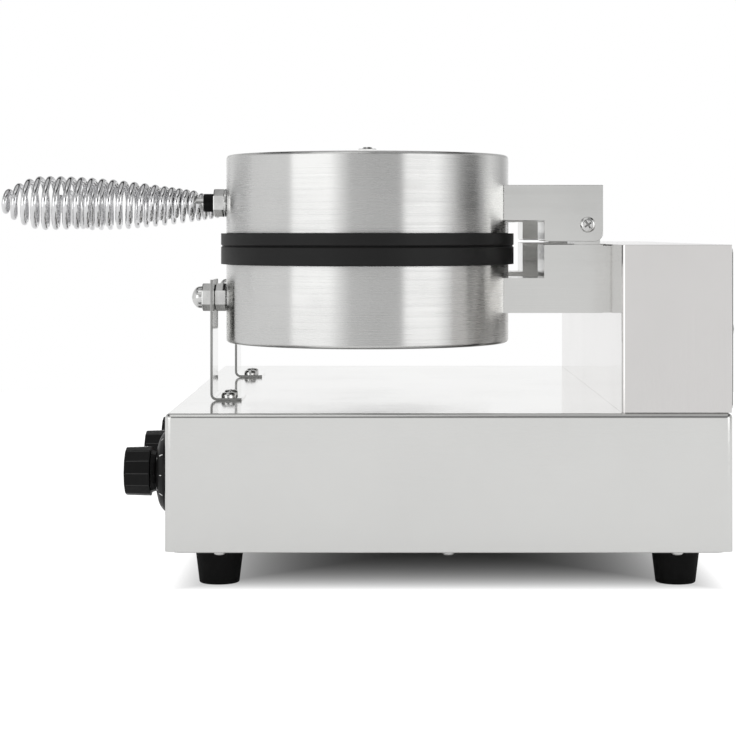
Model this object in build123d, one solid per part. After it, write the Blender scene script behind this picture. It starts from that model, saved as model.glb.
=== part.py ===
from build123d import *
from math import ceil, cos, dist, hypot, pi, radians, sin, sqrt, tan
import os

os.makedirs("parts", exist_ok=True)

# A two-head Belgian waffle maker. Millimetres, +X to the operator's right, +Y to the back, +Z up.
# Depths are counted from the middle of the base, and every piece is moved along Y when it is written.

# Fits and clearances
RUN_FIT = 0.05  # radial, a shaft that turns in its hole, or a bolt in its nut
SEAT = 0.05  # between a curved face and what is seated on it
SCREW_ROOM = 0.25  # radial, a screw in a sheet's hole
MOVE_ROOM = 0.6  # beside a piece that swings

# Base
BASE_WIDTH = 480.0
BASE_DEPTH = 370.0
BASE_HEIGHT = 90.0
FOOT_HEIGHT = 25.0
SHEET = 1.2
BASE_FOLD = 3.0
BASE_CORNER = 4.5
FLANGE = 16.0
PLATE_INSET = 5.0
VENT_SLOTS = 7
VENT_PITCH = 14.0
VENT_LENGTH = 60.0
VENT_WIDTH = 5.0

# Feet
FOOT_TOP_RADIUS = 16.0
FOOT_BOTTOM_RADIUS = 13.25
FOOT_FROM_SIDE = 35.0
FOOT_FROM_FRONT = 33.0
FOOT_STUD_RADIUS = 3.0
FOOT_STUD_LENGTH = 9.0

# Screws of the sheet pieces
SCREW_RADIUS = 2.0
SCREW_HEAD_RADIUS = 4.0
SCREW_HEAD = 2.4
SCREW_GRIP = 7.0
SCREW_CROWN = 0.3  # share of a screw head's height that is crowned
PLATE_SCREW_SPACING = 150.0
PLATE_SCREW_FROM_EDGE = 12.0

# Column at the back
COLUMN_RISE = 0.5  # of its top, over the top of the lower arms' blocks
COLUMN_INSET = 6.0
COLUMN_FOLD = 2.5
COVER_SCREW_RISE = 54.0
COVER_SCREW_FROM_SIDE = 16.0
COVER_TAB = 22.0
WIRE_HOLE_WIDTH = 60.0
WIRE_HOLE_DEPTH = 26.0

# Heads
HEAD_GAP = 22.5  # between the two waffle plates' flanges
DRUM_FROM_PANEL = 30.7
DRUM_RADIUS = 100.0
DRUM_WALL = 1.2
DRUM_CORNER = 2.5
LOWER_DRUM_LIFT = 40.3
LOWER_DRUM_HEIGHT = 55.3
UPPER_DRUM_HEIGHT = 55.0

# Waffle plates
LOWER_FLANGE = 12.8
UPPER_FLANGE = 8.8
FLANGE_PROUD = 3.75  # of the drum
PLATE_EDGE = 1.0
SPIGOT_INSET = 4.0
POCKET_INSET = 12.0
POCKET_DRAFT = 1.5
POCKET_DEPTH = 13.0
PLATE_FLOOR = 5.0
STUD_BASE = 12.0
STUD_TAPER = 10.0
STUD_HEIGHT = 9.0
STUD_PITCH = 20.0
STUD_START = 14.0
STUD_MARGIN = 1.5
DIVIDER_BASE = 7.0
DIVIDER_TAPER = 10.0
DIVIDER_HEIGHT = 9.8

# Heating elements and insulation
ELEMENT_SIDES = 12
ELEMENT_INSET = 34.0
ELEMENT_SECTION = 6.5
TERMINAL_LENGTH = 14.0
TERMINAL_SPREAD = 18.0
PAD_SIDES = 24
PAD_INSET = 16.0
PAD_THICKNESS = 24.0
PAD_GAP = 0.3

# Hinge
ARM_WIDTH = 62.0
ARM_WALL = 3.0
BLOCK_FROM_DRUM = 23.3
BLOCK_DEPTH = 41.0
PIVOT_FROM_BACK = 10.7
PIVOT_RISE = 14.8  # above the plane between the plates
UPPER_BAR_RISE = 3.0
UPPER_BAR = 24.7
UPPER_BLOCK_DROP = 11.6
LOWER_BAR_DROP = 9.5
LOWER_BAR = 24.3
LOWER_BLOCK_DROP = 13.9
BLOCK_CORNER = 6.0
ARM_CORNER = 2.0
PIN_RADIUS = 4.0
PIN_EYE_RADIUS = 9.0
PIN_SCREW_RADIUS = 2.0
PIN_SCREW_DEPTH = 8.0
PIN_HEAD_RADIUS = 5.5
PIN_HEAD = 2.5
NECK_WIDTH = 50.0
NECK_LENGTH = 3.2
NECK_FLANGE = 3.0
NECK_FLANGE_LIP = 6.0

# Support brackets in front of the drums
BRACKET_WIDTH = 45.0
BRACKET_SHEET = 1.8
BRACKET_BEND = 3.0
BRACKET_RISE = 12.9  # above the bolt
BRACKET_FOOT = 22.0
BRACKET_SCREW_SPACING = 24.0
BRACKET_SCREW_FROM_BACK = 10.0
BRACKET_SCREW_RADIUS = 2.5
BRACKET_SCREW_HEAD_RADIUS = 5.0
BRACKET_SCREW_HEAD = 3.4
SUPPORT_RISE = 31.5  # of the bolt, above the drum's floor
BOLT_RADIUS = 5.0
BOLT_HEAD_RADIUS = 8.0
BOLT_HEAD = 5.0
NUT_FLATS = 17.0
NUT_THICKNESS = 8.0
CAP_NUT_HEX = 7.5
CAP_NUT_LENGTH = 15.0
CAP_NUT_WALL = 3.0
WASHER_RADIUS = 10.0
WASHER = 1.2

# Handles
HANDLE_RISE = 21.6  # above the rim of the lid's drum
HANDLE_LENGTH = 143.45
SLEEVE = 7.0
SLEEVE_RADIUS = 7.0
WIRE = 4.5
WIRE_SIDES = 4
COIL_ROOT_RADIUS = 8.5
COIL_TIP_RADIUS = 9.0
COIL_BARREL_RADIUS = 19.5
COIL_BARREL_FROM_TIP = 30.0
COIL_TURNS = 20
TIGHT_TURNS = 5
TIGHT_PITCH = 5.1
COIL_END_GAP = 0.3
COIL_END_LEAN = 0.75  # how far along the handle each straight end of the wire leans
SPIGOT_END_RADIUS = 3.85
SPIGOT_END = 22.0

# Fixing on top of each lid
TOP_NUT_FLATS = 13.0
TOP_NUT = 5.0
TOP_BOLT_RADIUS = 4.0
TOP_BOLT_HEAD_RADIUS = 6.5
TOP_BOLT_HEAD = 4.0

# Controls
CONTROL_HEIGHT = 45.0  # from the foot of the base
KNOB_SPACING = 116.0
KNOB_SIDES = 12
KNOB_RADIUS = 16.9
KNOB_FRONT_RADIUS = 16.4
KNOB_BACK_RADIUS = 13.5
KNOB_LENGTH = 20.7
KNOB_NECK = 3.5
KNOB_CHAMFER = 1.1
SPINDLE_RADIUS = 3.0
SPINDLE_LENGTH = 34.0
DIAL_RADIUS = 28.5
DIAL_EDGE = 5.0
DIAL_SHOULDER_RADIUS = 24.0
DIAL_SHOULDER = 9.5
DIAL_TOP_RADIUS = 15.0
DIAL_HEIGHT = 12.0
BUSH_RADIUS = 4.8
BUSH_REACH = 6.0
CONTROL_SIZE = 36.0
THERMOSTAT_DEPTH = 26.0
TIMER_DEPTH = 34.0
SWITCH_WIDTH = 30.0
SWITCH_HEIGHT = 26.0
SWITCH_RIM = 2.2
SWITCH_CHAMFER = 0.7
SWITCH_BODY = 20.0
SWITCH_WALL = 2.5
SWITCH_DROP = 9.0
ROCKER_RADIUS = 9.0
ROCKER_PROUD = 2.6
ROCKER_AXLE_RADIUS = 1.5
ROCKER_ANGLE = 9.0
LAMP_RISE = 21.0
LAMP_RADIUS = 5.0
LAMP_RIM_RADIUS = 7.0
LAMP_RIM = 1.5
LAMP_PROUD = 4.0
LAMP_DEPTH = 14.0

# Cord gland and terminal block
GLAND_HEIGHT = 35.0  # from the foot of the base
GLAND_FLATS = 22.0
GLAND_PROUD = 14.0
GLAND_RADIUS = 8.0
GLAND_BORE = 4.5
GLAND_DEPTH = 12.0
TERMINAL_BLOCK = (60.0, 24.0, 18.0)
TERMINAL_FROM_BACK = 40.0
TERMINAL_WAYS = 4
TERMINAL_WAY = 8.0

# Places that follow from the sizes above
BASE_TOP = FOOT_HEIGHT + BASE_HEIGHT
PANEL = -BASE_DEPTH / 2
BACK = BASE_DEPTH / 2
DRUM_FRONT = PANEL + DRUM_FROM_PANEL
HEAD_DEPTH = DRUM_FRONT + DRUM_RADIUS
PLATE_FLANGE_RADIUS = DRUM_RADIUS + FLANGE_PROUD
HEAD_SPACING = 2 * PLATE_FLANGE_RADIUS + HEAD_GAP
HEADS = {"left": -HEAD_SPACING / 2, "right": HEAD_SPACING / 2}
LOWER_DRUM_FLOOR = BASE_TOP + LOWER_DRUM_LIFT
LOWER_DRUM_RIM = LOWER_DRUM_FLOOR + LOWER_DRUM_HEIGHT
SPLIT = LOWER_DRUM_RIM + LOWER_FLANGE
UPPER_DRUM_RIM = SPLIT + UPPER_FLANGE
UPPER_DRUM_TOP = UPPER_DRUM_RIM + UPPER_DRUM_HEIGHT
SPIGOT_RADIUS = DRUM_RADIUS - SPIGOT_INSET
POCKET_RADIUS = DRUM_RADIUS - POCKET_INSET
ELEMENT_RADIUS = DRUM_RADIUS - ELEMENT_INSET
PAD_RADIUS = DRUM_RADIUS - PAD_INSET
PIVOT_HEIGHT = SPLIT + PIVOT_RISE
UPPER_BAR_LOW = PIVOT_HEIGHT + UPPER_BAR_RISE
UPPER_BAR_HIGH = UPPER_BAR_LOW + UPPER_BAR
UPPER_BLOCK_LOW = PIVOT_HEIGHT - UPPER_BLOCK_DROP
LOWER_BAR_HIGH = LOWER_DRUM_RIM - LOWER_BAR_DROP
LOWER_BAR_LOW = LOWER_BAR_HIGH - LOWER_BAR
LOWER_BLOCK_HIGH = PIVOT_HEIGHT - LOWER_BLOCK_DROP
BLOCK_FRONT = HEAD_DEPTH + DRUM_RADIUS + BLOCK_FROM_DRUM
BLOCK_BACK = BLOCK_FRONT + BLOCK_DEPTH
PIVOT_DEPTH = BLOCK_BACK - PIVOT_FROM_BACK
COLUMN_FRONT = BLOCK_BACK + NECK_LENGTH
COLUMN_TOP = LOWER_BLOCK_HIGH + COLUMN_RISE
COLUMN_WIDTH = BASE_WIDTH - 2 * COLUMN_INSET
SUPPORT_HEIGHT = LOWER_DRUM_FLOOR + SUPPORT_RISE
BRACKET_TOP = SUPPORT_HEIGHT + BRACKET_RISE
NUT_FACE = DRUM_FRONT - SEAT
BRACKET_BACK = NUT_FACE - NUT_THICKNESS
HANDLE_HEIGHT = UPPER_DRUM_RIM + HANDLE_RISE
SLEEVE_FRONT = NUT_FACE - WASHER - NUT_THICKNESS - SLEEVE
HANDLE_TIP = HANDLE_LENGTH - SLEEVE_FRONT
CONTROL_LEVEL = FOOT_HEIGHT + CONTROL_HEIGHT
SWITCH_LEVEL = CONTROL_LEVEL - SWITCH_DROP
LAMP_LEVEL = CONTROL_LEVEL + LAMP_RISE
FRAME_SHIFT = (HANDLE_TIP - BACK - GLAND_PROUD) / 2


def slab(x_from, x_to, y_from, y_to, z_from, z_to):
    """Box between two corners."""
    middle = Pos((x_from + x_to) / 2, (y_from + y_to) / 2, (z_from + z_to) / 2)
    return middle * Box(x_to - x_from, y_to - y_from, z_to - z_from)


def rod_x(radius, x_from, x_to, y, z):
    """Cylinder along X."""
    return Pos((x_from + x_to) / 2, y, z) * Rot(0, 90, 0) * Cylinder(radius, x_to - x_from)


def rod_y(radius, y_from, y_to, x, z):
    """Cylinder along Y."""
    return Pos(x, (y_from + y_to) / 2, z) * Rot(90, 0, 0) * Cylinder(radius, y_to - y_from)


def rod_z(radius, z_from, z_to, x, y):
    """Cylinder along Z."""
    return Pos(x, y, (z_from + z_to) / 2) * Cylinder(radius, z_to - z_from)


def hex_y(flats, y_from, y_to, x, z):
    """Hexagon bar along Y, with a corner up."""
    side = RegularPolygon(flats / 2, 6, major_radius=False, rotation=30)
    return extrude(Plane((x, y_to, z), x_dir=(1, 0, 0), z_dir=(0, -1, 0)) * side, y_to - y_from)


def turned(corners):
    """Solid turned about Z from an outline of (radius, height) corners."""
    outline = make_face(Polyline(*[(r, 0, z) for r, z in corners], close=True))
    return revolve(outline, Axis.Z)


def facing_front(shape, x, y, z):
    """A shape made about Z with its top at the front, turned to look along -Y and put in place."""
    return Pos(x, y, z) * Rot(90, 0, 0) * shape


def side_outline(points, width, x):
    """A closed (depth, height) outline as a bar of the given width about x."""
    face = make_face(Polyline(*[(0, y, z) for y, z in points], close=True))
    return Pos(x, 0, 0) * extrude(face, width / 2, dir=(1, 0, 0), both=True)


def wall_depth(radius, half_width):
    """How far from a drum's axis a flat piece of this half width meets its round wall."""
    return sqrt(radius**2 - half_width**2)


def pan_screw(head_radius, head, radius, grip):
    """Screw along Z, its head above the level 0 and its shank below."""
    crown = SCREW_CROWN * head
    return turned(
        [
            (0, -grip),
            (radius, -grip),
            (radius, 0),
            (head_radius, 0),
            (head_radius, head - crown),
            (head_radius - 2 * crown, head),
            (0, head),
        ]
    )


def write(name, *solids):
    """Writes one node, with its solids moved so that the origin lies under the middle of the whole object."""
    moved = [Pos(0, FRAME_SHIFT, 0) * solid for solid in solids]
    shape = moved[0] if len(moved) == 1 else Compound(children=moved)
    shape.label = name
    export_step(shape, f"parts/{name}.step")


# Base


def plate_screw_places():
    x = BASE_WIDTH / 2 - PLATE_SCREW_FROM_EDGE
    return [(side * x, row * PLATE_SCREW_SPACING) for side in (-1, 1) for row in (-1, 0, 1)]


def foot_places():
    x = BASE_WIDTH / 2 - FOOT_FROM_SIDE
    y = BASE_DEPTH / 2 - FOOT_FROM_FRONT
    return [(i * x, j * y) for i in (-1, 1) for j in (-1, 1)]


def knob_places():
    return {
        f"{side}_{kind}": x + offset
        for side, x in HEADS.items()
        for kind, offset in (("thermostat", -KNOB_SPACING / 2), ("timer", KNOB_SPACING / 2))
    }


def bracket_screw_places(x):
    y = BRACKET_BACK + BRACKET_FOOT - BRACKET_SHEET - BRACKET_SCREW_FROM_BACK
    return [(x + side * BRACKET_SCREW_SPACING / 2, y) for side in (-1, 1)]


def cover_screw_places():
    x = COLUMN_WIDTH / 2 - COVER_SCREW_FROM_SIDE
    z = BASE_TOP + COVER_SCREW_RISE
    return [(-x, z), (x, z)]


def base_shell():
    """Folded case, open below, with a flange turned inwards for the bottom plate."""
    outside = extrude(Pos(0, 0, FOOT_HEIGHT) * RectangleRounded(BASE_WIDTH, BASE_DEPTH, BASE_CORNER), BASE_HEIGHT)
    outside = fillet(outside.faces().sort_by(Axis.Z)[-1].edges(), BASE_FOLD)
    inside = RectangleRounded(BASE_WIDTH - 2 * SHEET, BASE_DEPTH - 2 * SHEET, BASE_CORNER - SHEET)
    shell = outside - extrude(Pos(0, 0, FOOT_HEIGHT + SHEET) * inside, BASE_HEIGHT - 2 * SHEET)
    shell -= slab(
        FLANGE - BASE_WIDTH / 2,
        BASE_WIDTH / 2 - FLANGE,
        FLANGE - BASE_DEPTH / 2,
        BASE_DEPTH / 2 - FLANGE,
        FOOT_HEIGHT,
        FOOT_HEIGHT + SHEET,
    )
    for x, y in plate_screw_places():
        shell -= rod_z(SCREW_RADIUS + SCREW_ROOM, FOOT_HEIGHT, FOOT_HEIGHT + SHEET, x, y)
    hole_y = (COLUMN_FRONT + BACK) / 2
    for head in HEADS.values():
        for x, y in bracket_screw_places(head):
            shell -= rod_z(BRACKET_SCREW_RADIUS + SCREW_ROOM, BASE_TOP - SHEET, BASE_TOP, x, y)
        shell -= slab(
            head - WIRE_HOLE_WIDTH / 2,
            head + WIRE_HOLE_WIDTH / 2,
            hole_y - WIRE_HOLE_DEPTH / 2,
            hole_y + WIRE_HOLE_DEPTH / 2,
            BASE_TOP - SHEET,
            BASE_TOP,
        )
        shell -= slab(
            head - switch_opening_width() / 2 - SWITCH_WALL - SCREW_ROOM,
            head + switch_opening_width() / 2 + SWITCH_WALL + SCREW_ROOM,
            PANEL,
            PANEL + SHEET,
            SWITCH_LEVEL - switch_opening_height() / 2 - SWITCH_WALL - SCREW_ROOM,
            SWITCH_LEVEL + switch_opening_height() / 2 + SWITCH_WALL + SCREW_ROOM,
        )
        shell -= rod_y(LAMP_RADIUS + SCREW_ROOM, PANEL, PANEL + SHEET, head, LAMP_LEVEL)
    for x in knob_places().values():
        shell -= rod_y(BUSH_RADIUS + SCREW_ROOM, PANEL, PANEL + SHEET, x, CONTROL_LEVEL)
    shell -= rod_y(GLAND_RADIUS + SCREW_ROOM, BACK - SHEET, BACK, 0, FOOT_HEIGHT + GLAND_HEIGHT)
    return shell


def bottom_plate():
    """Flat plate under the flange, slotted for air."""
    outline = RectangleRounded(BASE_WIDTH - 2 * PLATE_INSET, BASE_DEPTH - 2 * PLATE_INSET, BASE_CORNER)
    plate = extrude(Pos(0, 0, FOOT_HEIGHT - SHEET) * outline, SHEET)
    low = FOOT_HEIGHT - SHEET
    slot = slab(-VENT_LENGTH / 2, VENT_LENGTH / 2, -VENT_WIDTH / 2, VENT_WIDTH / 2, low, FOOT_HEIGHT)
    for head in HEADS.values():
        for row in range(VENT_SLOTS):
            plate -= Pos(head, (row - (VENT_SLOTS - 1) / 2) * VENT_PITCH, 0) * slot
    for x, y in plate_screw_places():
        plate -= rod_z(SCREW_RADIUS + SCREW_ROOM, FOOT_HEIGHT - SHEET, FOOT_HEIGHT, x, y)
    for x, y in foot_places():
        plate -= rod_z(FOOT_STUD_RADIUS + SCREW_ROOM, FOOT_HEIGHT - SHEET, FOOT_HEIGHT, x, y)
    return plate


def bottom_plate_screws():
    screw = Rot(180, 0, 0) * pan_screw(SCREW_HEAD_RADIUS, SCREW_HEAD, SCREW_RADIUS, SCREW_GRIP)
    return [Pos(x, y, FOOT_HEIGHT - SHEET) * screw for x, y in plate_screw_places()]


def feet():
    top = FOOT_HEIGHT - SHEET
    foot = turned(
        [
            (0, 0),
            (FOOT_BOTTOM_RADIUS, 0),
            (FOOT_TOP_RADIUS, top),
            (FOOT_STUD_RADIUS, top),
            (FOOT_STUD_RADIUS, top + FOOT_STUD_LENGTH),
            (0, top + FOOT_STUD_LENGTH),
        ]
    )
    return [Pos(x, y, 0) * foot for x, y in foot_places()]


def rear_housing():
    """Folded column, open at the foot and at the back, with an opening for each arm's neck."""
    half = COLUMN_WIDTH / 2
    outside = slab(-half, half, COLUMN_FRONT, BACK, BASE_TOP, COLUMN_TOP)
    folds = outside.edges().filter_by(Axis.X).filter_by_position(Axis.Z, COLUMN_TOP - SHEET, COLUMN_TOP)
    sides = outside.edges().filter_by(Axis.Z).filter_by_position(Axis.Y, COLUMN_FRONT, COLUMN_FRONT + SHEET)
    outside = fillet(folds + sides, COLUMN_FOLD)
    inside = slab(
        SHEET - half, half - SHEET, COLUMN_FRONT + SHEET, BACK - SHEET, BASE_TOP, COLUMN_TOP - SHEET
    )
    rear = slab(
        COVER_TAB - half, half - COVER_TAB, BACK - SHEET, BACK, BASE_TOP, COLUMN_TOP - COVER_TAB
    )
    housing = outside - inside - rear
    for x in HEADS.values():
        housing -= slab(
            x - NECK_WIDTH / 2 - SEAT,
            x + NECK_WIDTH / 2 + SEAT,
            COLUMN_FRONT,
            COLUMN_FRONT + SHEET,
            LOWER_BAR_LOW - SEAT,
            neck_top() + SEAT,
        )
    for x, z in cover_screw_places():
        housing -= rod_y(SCREW_RADIUS + SCREW_ROOM, BACK - SHEET, BACK, x, z)
    return housing


def rear_cover():
    half = COLUMN_WIDTH / 2 - COLUMN_FOLD
    cover = slab(-half, half, BACK, BACK + SHEET, BASE_TOP + COLUMN_FOLD, COLUMN_TOP - COLUMN_FOLD)
    cover = chamfer(cover.edges().filter_by(Axis.Y), COLUMN_FOLD)
    for x, z in cover_screw_places():
        cover -= rod_y(SCREW_RADIUS + SCREW_ROOM, BACK, BACK + SHEET, x, z)
    return cover


def rear_cover_screws():
    screw = Rot(-90, 0, 0) * pan_screw(SCREW_HEAD_RADIUS, SCREW_HEAD, SCREW_RADIUS, SCREW_GRIP)
    return [Pos(x, BACK + SHEET, z) * screw for x, z in cover_screw_places()]


def cord_gland():
    """Hexagon gland with its neck through the back wall and a bore for the cord."""
    z = FOOT_HEIGHT + GLAND_HEIGHT
    gland = hex_y(GLAND_FLATS, BACK, BACK + GLAND_PROUD, 0, z)
    gland += rod_y(GLAND_RADIUS, BACK - GLAND_DEPTH, BACK, 0, z)
    return gland - rod_y(GLAND_BORE, BACK - GLAND_DEPTH, BACK + GLAND_PROUD, 0, z)


def terminal_block():
    """Block on the floor of the base with a row of wire ways."""
    width, depth, height = TERMINAL_BLOCK
    y = BACK - TERMINAL_FROM_BACK - depth
    block = slab(-width / 2, width / 2, y, y + depth, FOOT_HEIGHT, FOOT_HEIGHT + height)
    pitch = width / TERMINAL_WAYS
    for number in range(TERMINAL_WAYS):
        x = (number + 0.5) * pitch - width / 2
        left = x - TERMINAL_WAY / 2
        block -= slab(left, left + TERMINAL_WAY, y, y + depth, FOOT_HEIGHT + height / 2, FOOT_HEIGHT + height)
    return block


# Heads


def drum(floor, rim, x):
    """Stainless cup with a rounded corner at its closed end, which is at the level floor."""
    height = abs(rim - floor)
    cup = turned(
        [
            (0, 0),
            (DRUM_RADIUS, 0),
            (DRUM_RADIUS, height),
            (DRUM_RADIUS - DRUM_WALL, height),
            (DRUM_RADIUS - DRUM_WALL, DRUM_WALL),
            (0, DRUM_WALL),
        ]
    )
    corner = cup.edges().filter_by(GeomType.CIRCLE).filter_by_position(Axis.Z, 0, 0).sort_by(SortBy.RADIUS)[-1]
    cup = fillet(corner, DRUM_CORNER)
    upright = Rot(0, 0, 0) if rim > floor else Rot(180, 0, 0)
    return Pos(x, HEAD_DEPTH, floor) * upright * cup


def lower_drum(x):
    cup = drum(LOWER_DRUM_FLOOR, LOWER_DRUM_RIM, x)
    return cup - rod_y(BOLT_RADIUS + SCREW_ROOM, DRUM_FRONT, HEAD_DEPTH, x, SUPPORT_HEIGHT)


def upper_drum(x):
    cup = drum(UPPER_DRUM_TOP, UPPER_DRUM_RIM, x)
    cup -= rod_y(BOLT_RADIUS + SCREW_ROOM, DRUM_FRONT, HEAD_DEPTH, x, HANDLE_HEIGHT)
    return cup - rod_z(TOP_BOLT_RADIUS + SCREW_ROOM, UPPER_DRUM_TOP - 2 * DRUM_WALL, UPPER_DRUM_TOP, x, HEAD_DEPTH)


def stud_places():
    """Middles of the square studs of one plate, set out in four quarters."""
    reach = POCKET_RADIUS - POCKET_DRAFT - STUD_MARGIN
    steps = range(ceil(reach / STUD_PITCH))
    line = [STUD_START + step * STUD_PITCH for step in steps]
    quarter = [(u, v) for u in line for v in line if hypot(u + STUD_BASE / 2, v + STUD_BASE / 2) < reach]
    return [(i * u, j * v) for i in (-1, 1) for j in (-1, 1) for u, v in quarter]


def waffle_plate(flange):
    """Cast plate with its face at the level 0 and its back below: a round pocket with studs and a cross."""
    draft = POCKET_DRAFT
    plate = turned(
        [
            (0, -POCKET_DEPTH - PLATE_FLOOR),
            (SPIGOT_RADIUS, -POCKET_DEPTH - PLATE_FLOOR),
            (SPIGOT_RADIUS, -flange),
            (PLATE_FLANGE_RADIUS, -flange),
            (PLATE_FLANGE_RADIUS, -PLATE_EDGE),
            (PLATE_FLANGE_RADIUS - PLATE_EDGE, 0),
            (POCKET_RADIUS, 0),
            (POCKET_RADIUS - draft, -POCKET_DEPTH),
            (0, -POCKET_DEPTH),
        ]
    )
    floor = Plane((0, 0, -POCKET_DEPTH))
    squares = Sketch() + [floor * Pos(u, v) * Rectangle(STUD_BASE, STUD_BASE) for u, v in stud_places()]
    studs = extrude(squares, STUD_HEIGHT, taper=STUD_TAPER)
    length = 2 * POCKET_RADIUS
    lean = DIVIDER_HEIGHT * tan(radians(DIVIDER_TAPER))
    divider = side_outline(
        [
            (-DIVIDER_BASE / 2, -POCKET_DEPTH),
            (DIVIDER_BASE / 2, -POCKET_DEPTH),
            (DIVIDER_BASE / 2 - lean, DIVIDER_HEIGHT - POCKET_DEPTH),
            (lean - DIVIDER_BASE / 2, DIVIDER_HEIGHT - POCKET_DEPTH),
        ],
        length,
        0,
    )
    return plate + studs.solids() + divider + Rot(0, 0, 90) * divider


def lower_plate(x):
    return Pos(x, HEAD_DEPTH, SPLIT) * waffle_plate(SPLIT - LOWER_DRUM_RIM)


def upper_plate(x):
    return Pos(x, HEAD_DEPTH, SPLIT) * Rot(180, 0, 0) * waffle_plate(UPPER_DRUM_RIM - SPLIT)


def terminal_front():
    """How far behind a plate's middle the ends of its element begin."""
    return ELEMENT_RADIUS * cos(pi / ELEMENT_SIDES) - 2 * ELEMENT_SECTION


def element():
    """Flat loop of heater bar bent in short straight runs, with two ends turned away from the plate."""
    ring = RegularPolygon(ELEMENT_RADIUS, ELEMENT_SIDES)
    ring -= RegularPolygon(ELEMENT_RADIUS - ELEMENT_SECTION, ELEMENT_SIDES)
    loop = extrude(ring, -ELEMENT_SECTION)
    y = terminal_front()
    for side in (-1, 1):
        x = side * TERMINAL_SPREAD / 2
        half = ELEMENT_SECTION / 2
        end = slab(x - half, x + half, y, y + ELEMENT_SECTION, -TERMINAL_LENGTH, 0)
        run = slab(x - half, x + half, y, y + 3 * half, -ELEMENT_SECTION, 0)
        loop += [end, run]
    return loop


def back_of_plate(sign):
    return SPLIT + sign * (POCKET_DEPTH + PLATE_FLOOR)


def lower_element(x):
    return Pos(x, HEAD_DEPTH, back_of_plate(-1)) * element()


def upper_element(x):
    return Pos(x, HEAD_DEPTH, back_of_plate(1)) * Rot(0, 180, 0) * element()


def insulation_pad():
    """Fibre pad behind the element, notched for the element's ends."""
    pad = extrude(RegularPolygon(PAD_RADIUS, PAD_SIDES), -PAD_THICKNESS)
    y = terminal_front()
    half = TERMINAL_SPREAD / 2 + ELEMENT_SECTION
    notch = slab(-half, half, y - PAD_GAP, y + ELEMENT_SECTION + PAD_GAP, -TERMINAL_LENGTH, 0)
    return pad - notch


def lower_insulation(x):
    return Pos(x, HEAD_DEPTH, back_of_plate(-1) - ELEMENT_SECTION - PAD_GAP) * insulation_pad()


def upper_insulation(x):
    place = Pos(x, HEAD_DEPTH, back_of_plate(1) + ELEMENT_SECTION + PAD_GAP)
    return place * Rot(0, 180, 0) * insulation_pad()


# Hinges


def neck_top():
    return COLUMN_TOP - SHEET - SEAT


def bar_front():
    """Where the edges of an arm's bar meet the drum, which then trims its end round."""
    return HEAD_DEPTH + wall_depth(DRUM_RADIUS, ARM_WIDTH / 2)


def drum_room(x):
    """What a drum takes of the arms' bars."""
    return rod_z(DRUM_RADIUS + SEAT, LOWER_DRUM_FLOOR, UPPER_DRUM_TOP, x, HEAD_DEPTH)


def upper_arm(x):
    """Channel bent over the hinge: a bar from the lid's drum that drops to two cheeks."""
    arm = side_outline(
        [
            (bar_front(), UPPER_BAR_HIGH),
            (bar_front(), UPPER_BAR_LOW),
            (BLOCK_FRONT, UPPER_BAR_LOW),
            (BLOCK_FRONT, UPPER_BLOCK_LOW),
            (BLOCK_BACK, UPPER_BLOCK_LOW),
            (BLOCK_BACK, UPPER_BAR_HIGH),
        ],
        ARM_WIDTH,
        x,
    )
    low = arm.edges().filter_by(Axis.X).filter_by_position(Axis.Z, UPPER_BLOCK_LOW, UPPER_BLOCK_LOW)
    arm = fillet(low.sort_by(Axis.Y)[-1], BLOCK_CORNER)
    low = arm.edges().filter_by(Axis.X).filter_by_position(Axis.Z, UPPER_BLOCK_LOW, UPPER_BLOCK_LOW)
    arm = fillet(low.sort_by(Axis.Y)[0], ARM_CORNER)
    half = ARM_WIDTH / 2 - ARM_WALL
    arm -= slab(x - half, x + half, BLOCK_FRONT + ARM_WALL, BLOCK_BACK, UPPER_BLOCK_LOW, UPPER_BAR_HIGH - ARM_WALL)
    arm -= slab(x - half, x + half, bar_front(), BLOCK_FRONT - ARM_WALL, UPPER_BAR_LOW, UPPER_BAR_HIGH - ARM_WALL)
    arm -= rod_x(PIN_RADIUS + RUN_FIT, x - ARM_WIDTH / 2, x + ARM_WIDTH / 2, PIVOT_DEPTH, PIVOT_HEIGHT)
    return arm - drum_room(x)


def lower_arm(x):
    """Arm welded to the lower drum, with the hinge eye on top and a neck flanged inside the column."""
    arm = side_outline(
        [
            (bar_front(), LOWER_BAR_LOW),
            (BLOCK_BACK, LOWER_BAR_LOW),
            (BLOCK_BACK, LOWER_BLOCK_HIGH),
            (BLOCK_FRONT, LOWER_BLOCK_HIGH),
            (BLOCK_FRONT, LOWER_BAR_HIGH),
            (bar_front(), LOWER_BAR_HIGH),
        ],
        ARM_WIDTH,
        x,
    )
    eye_width = ARM_WIDTH - 2 * ARM_WALL - 2 * MOVE_ROOM
    eye = rod_x(PIN_EYE_RADIUS, x - eye_width / 2, x + eye_width / 2, PIVOT_DEPTH, PIVOT_HEIGHT)
    stem = slab(
        x - eye_width / 2,
        x + eye_width / 2,
        PIVOT_DEPTH - PIN_EYE_RADIUS,
        PIVOT_DEPTH + PIN_EYE_RADIUS,
        LOWER_BLOCK_HIGH - ARM_WALL,
        PIVOT_HEIGHT,
    )
    flange_front = COLUMN_FRONT + SHEET
    neck = slab(x - NECK_WIDTH / 2, x + NECK_WIDTH / 2, BLOCK_BACK, flange_front, LOWER_BAR_LOW, neck_top())
    flange_half = NECK_WIDTH / 2 + NECK_FLANGE_LIP
    flange = slab(
        x - flange_half,
        x + flange_half,
        flange_front,
        flange_front + NECK_FLANGE,
        LOWER_BAR_LOW - NECK_FLANGE_LIP,
        COLUMN_TOP - SHEET,
    )
    arm = arm + [eye, stem, neck, flange]
    arm -= rod_x(PIN_RADIUS + RUN_FIT, x - eye_width / 2, x + eye_width / 2, PIVOT_DEPTH, PIVOT_HEIGHT)
    return arm - drum_room(x)


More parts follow.
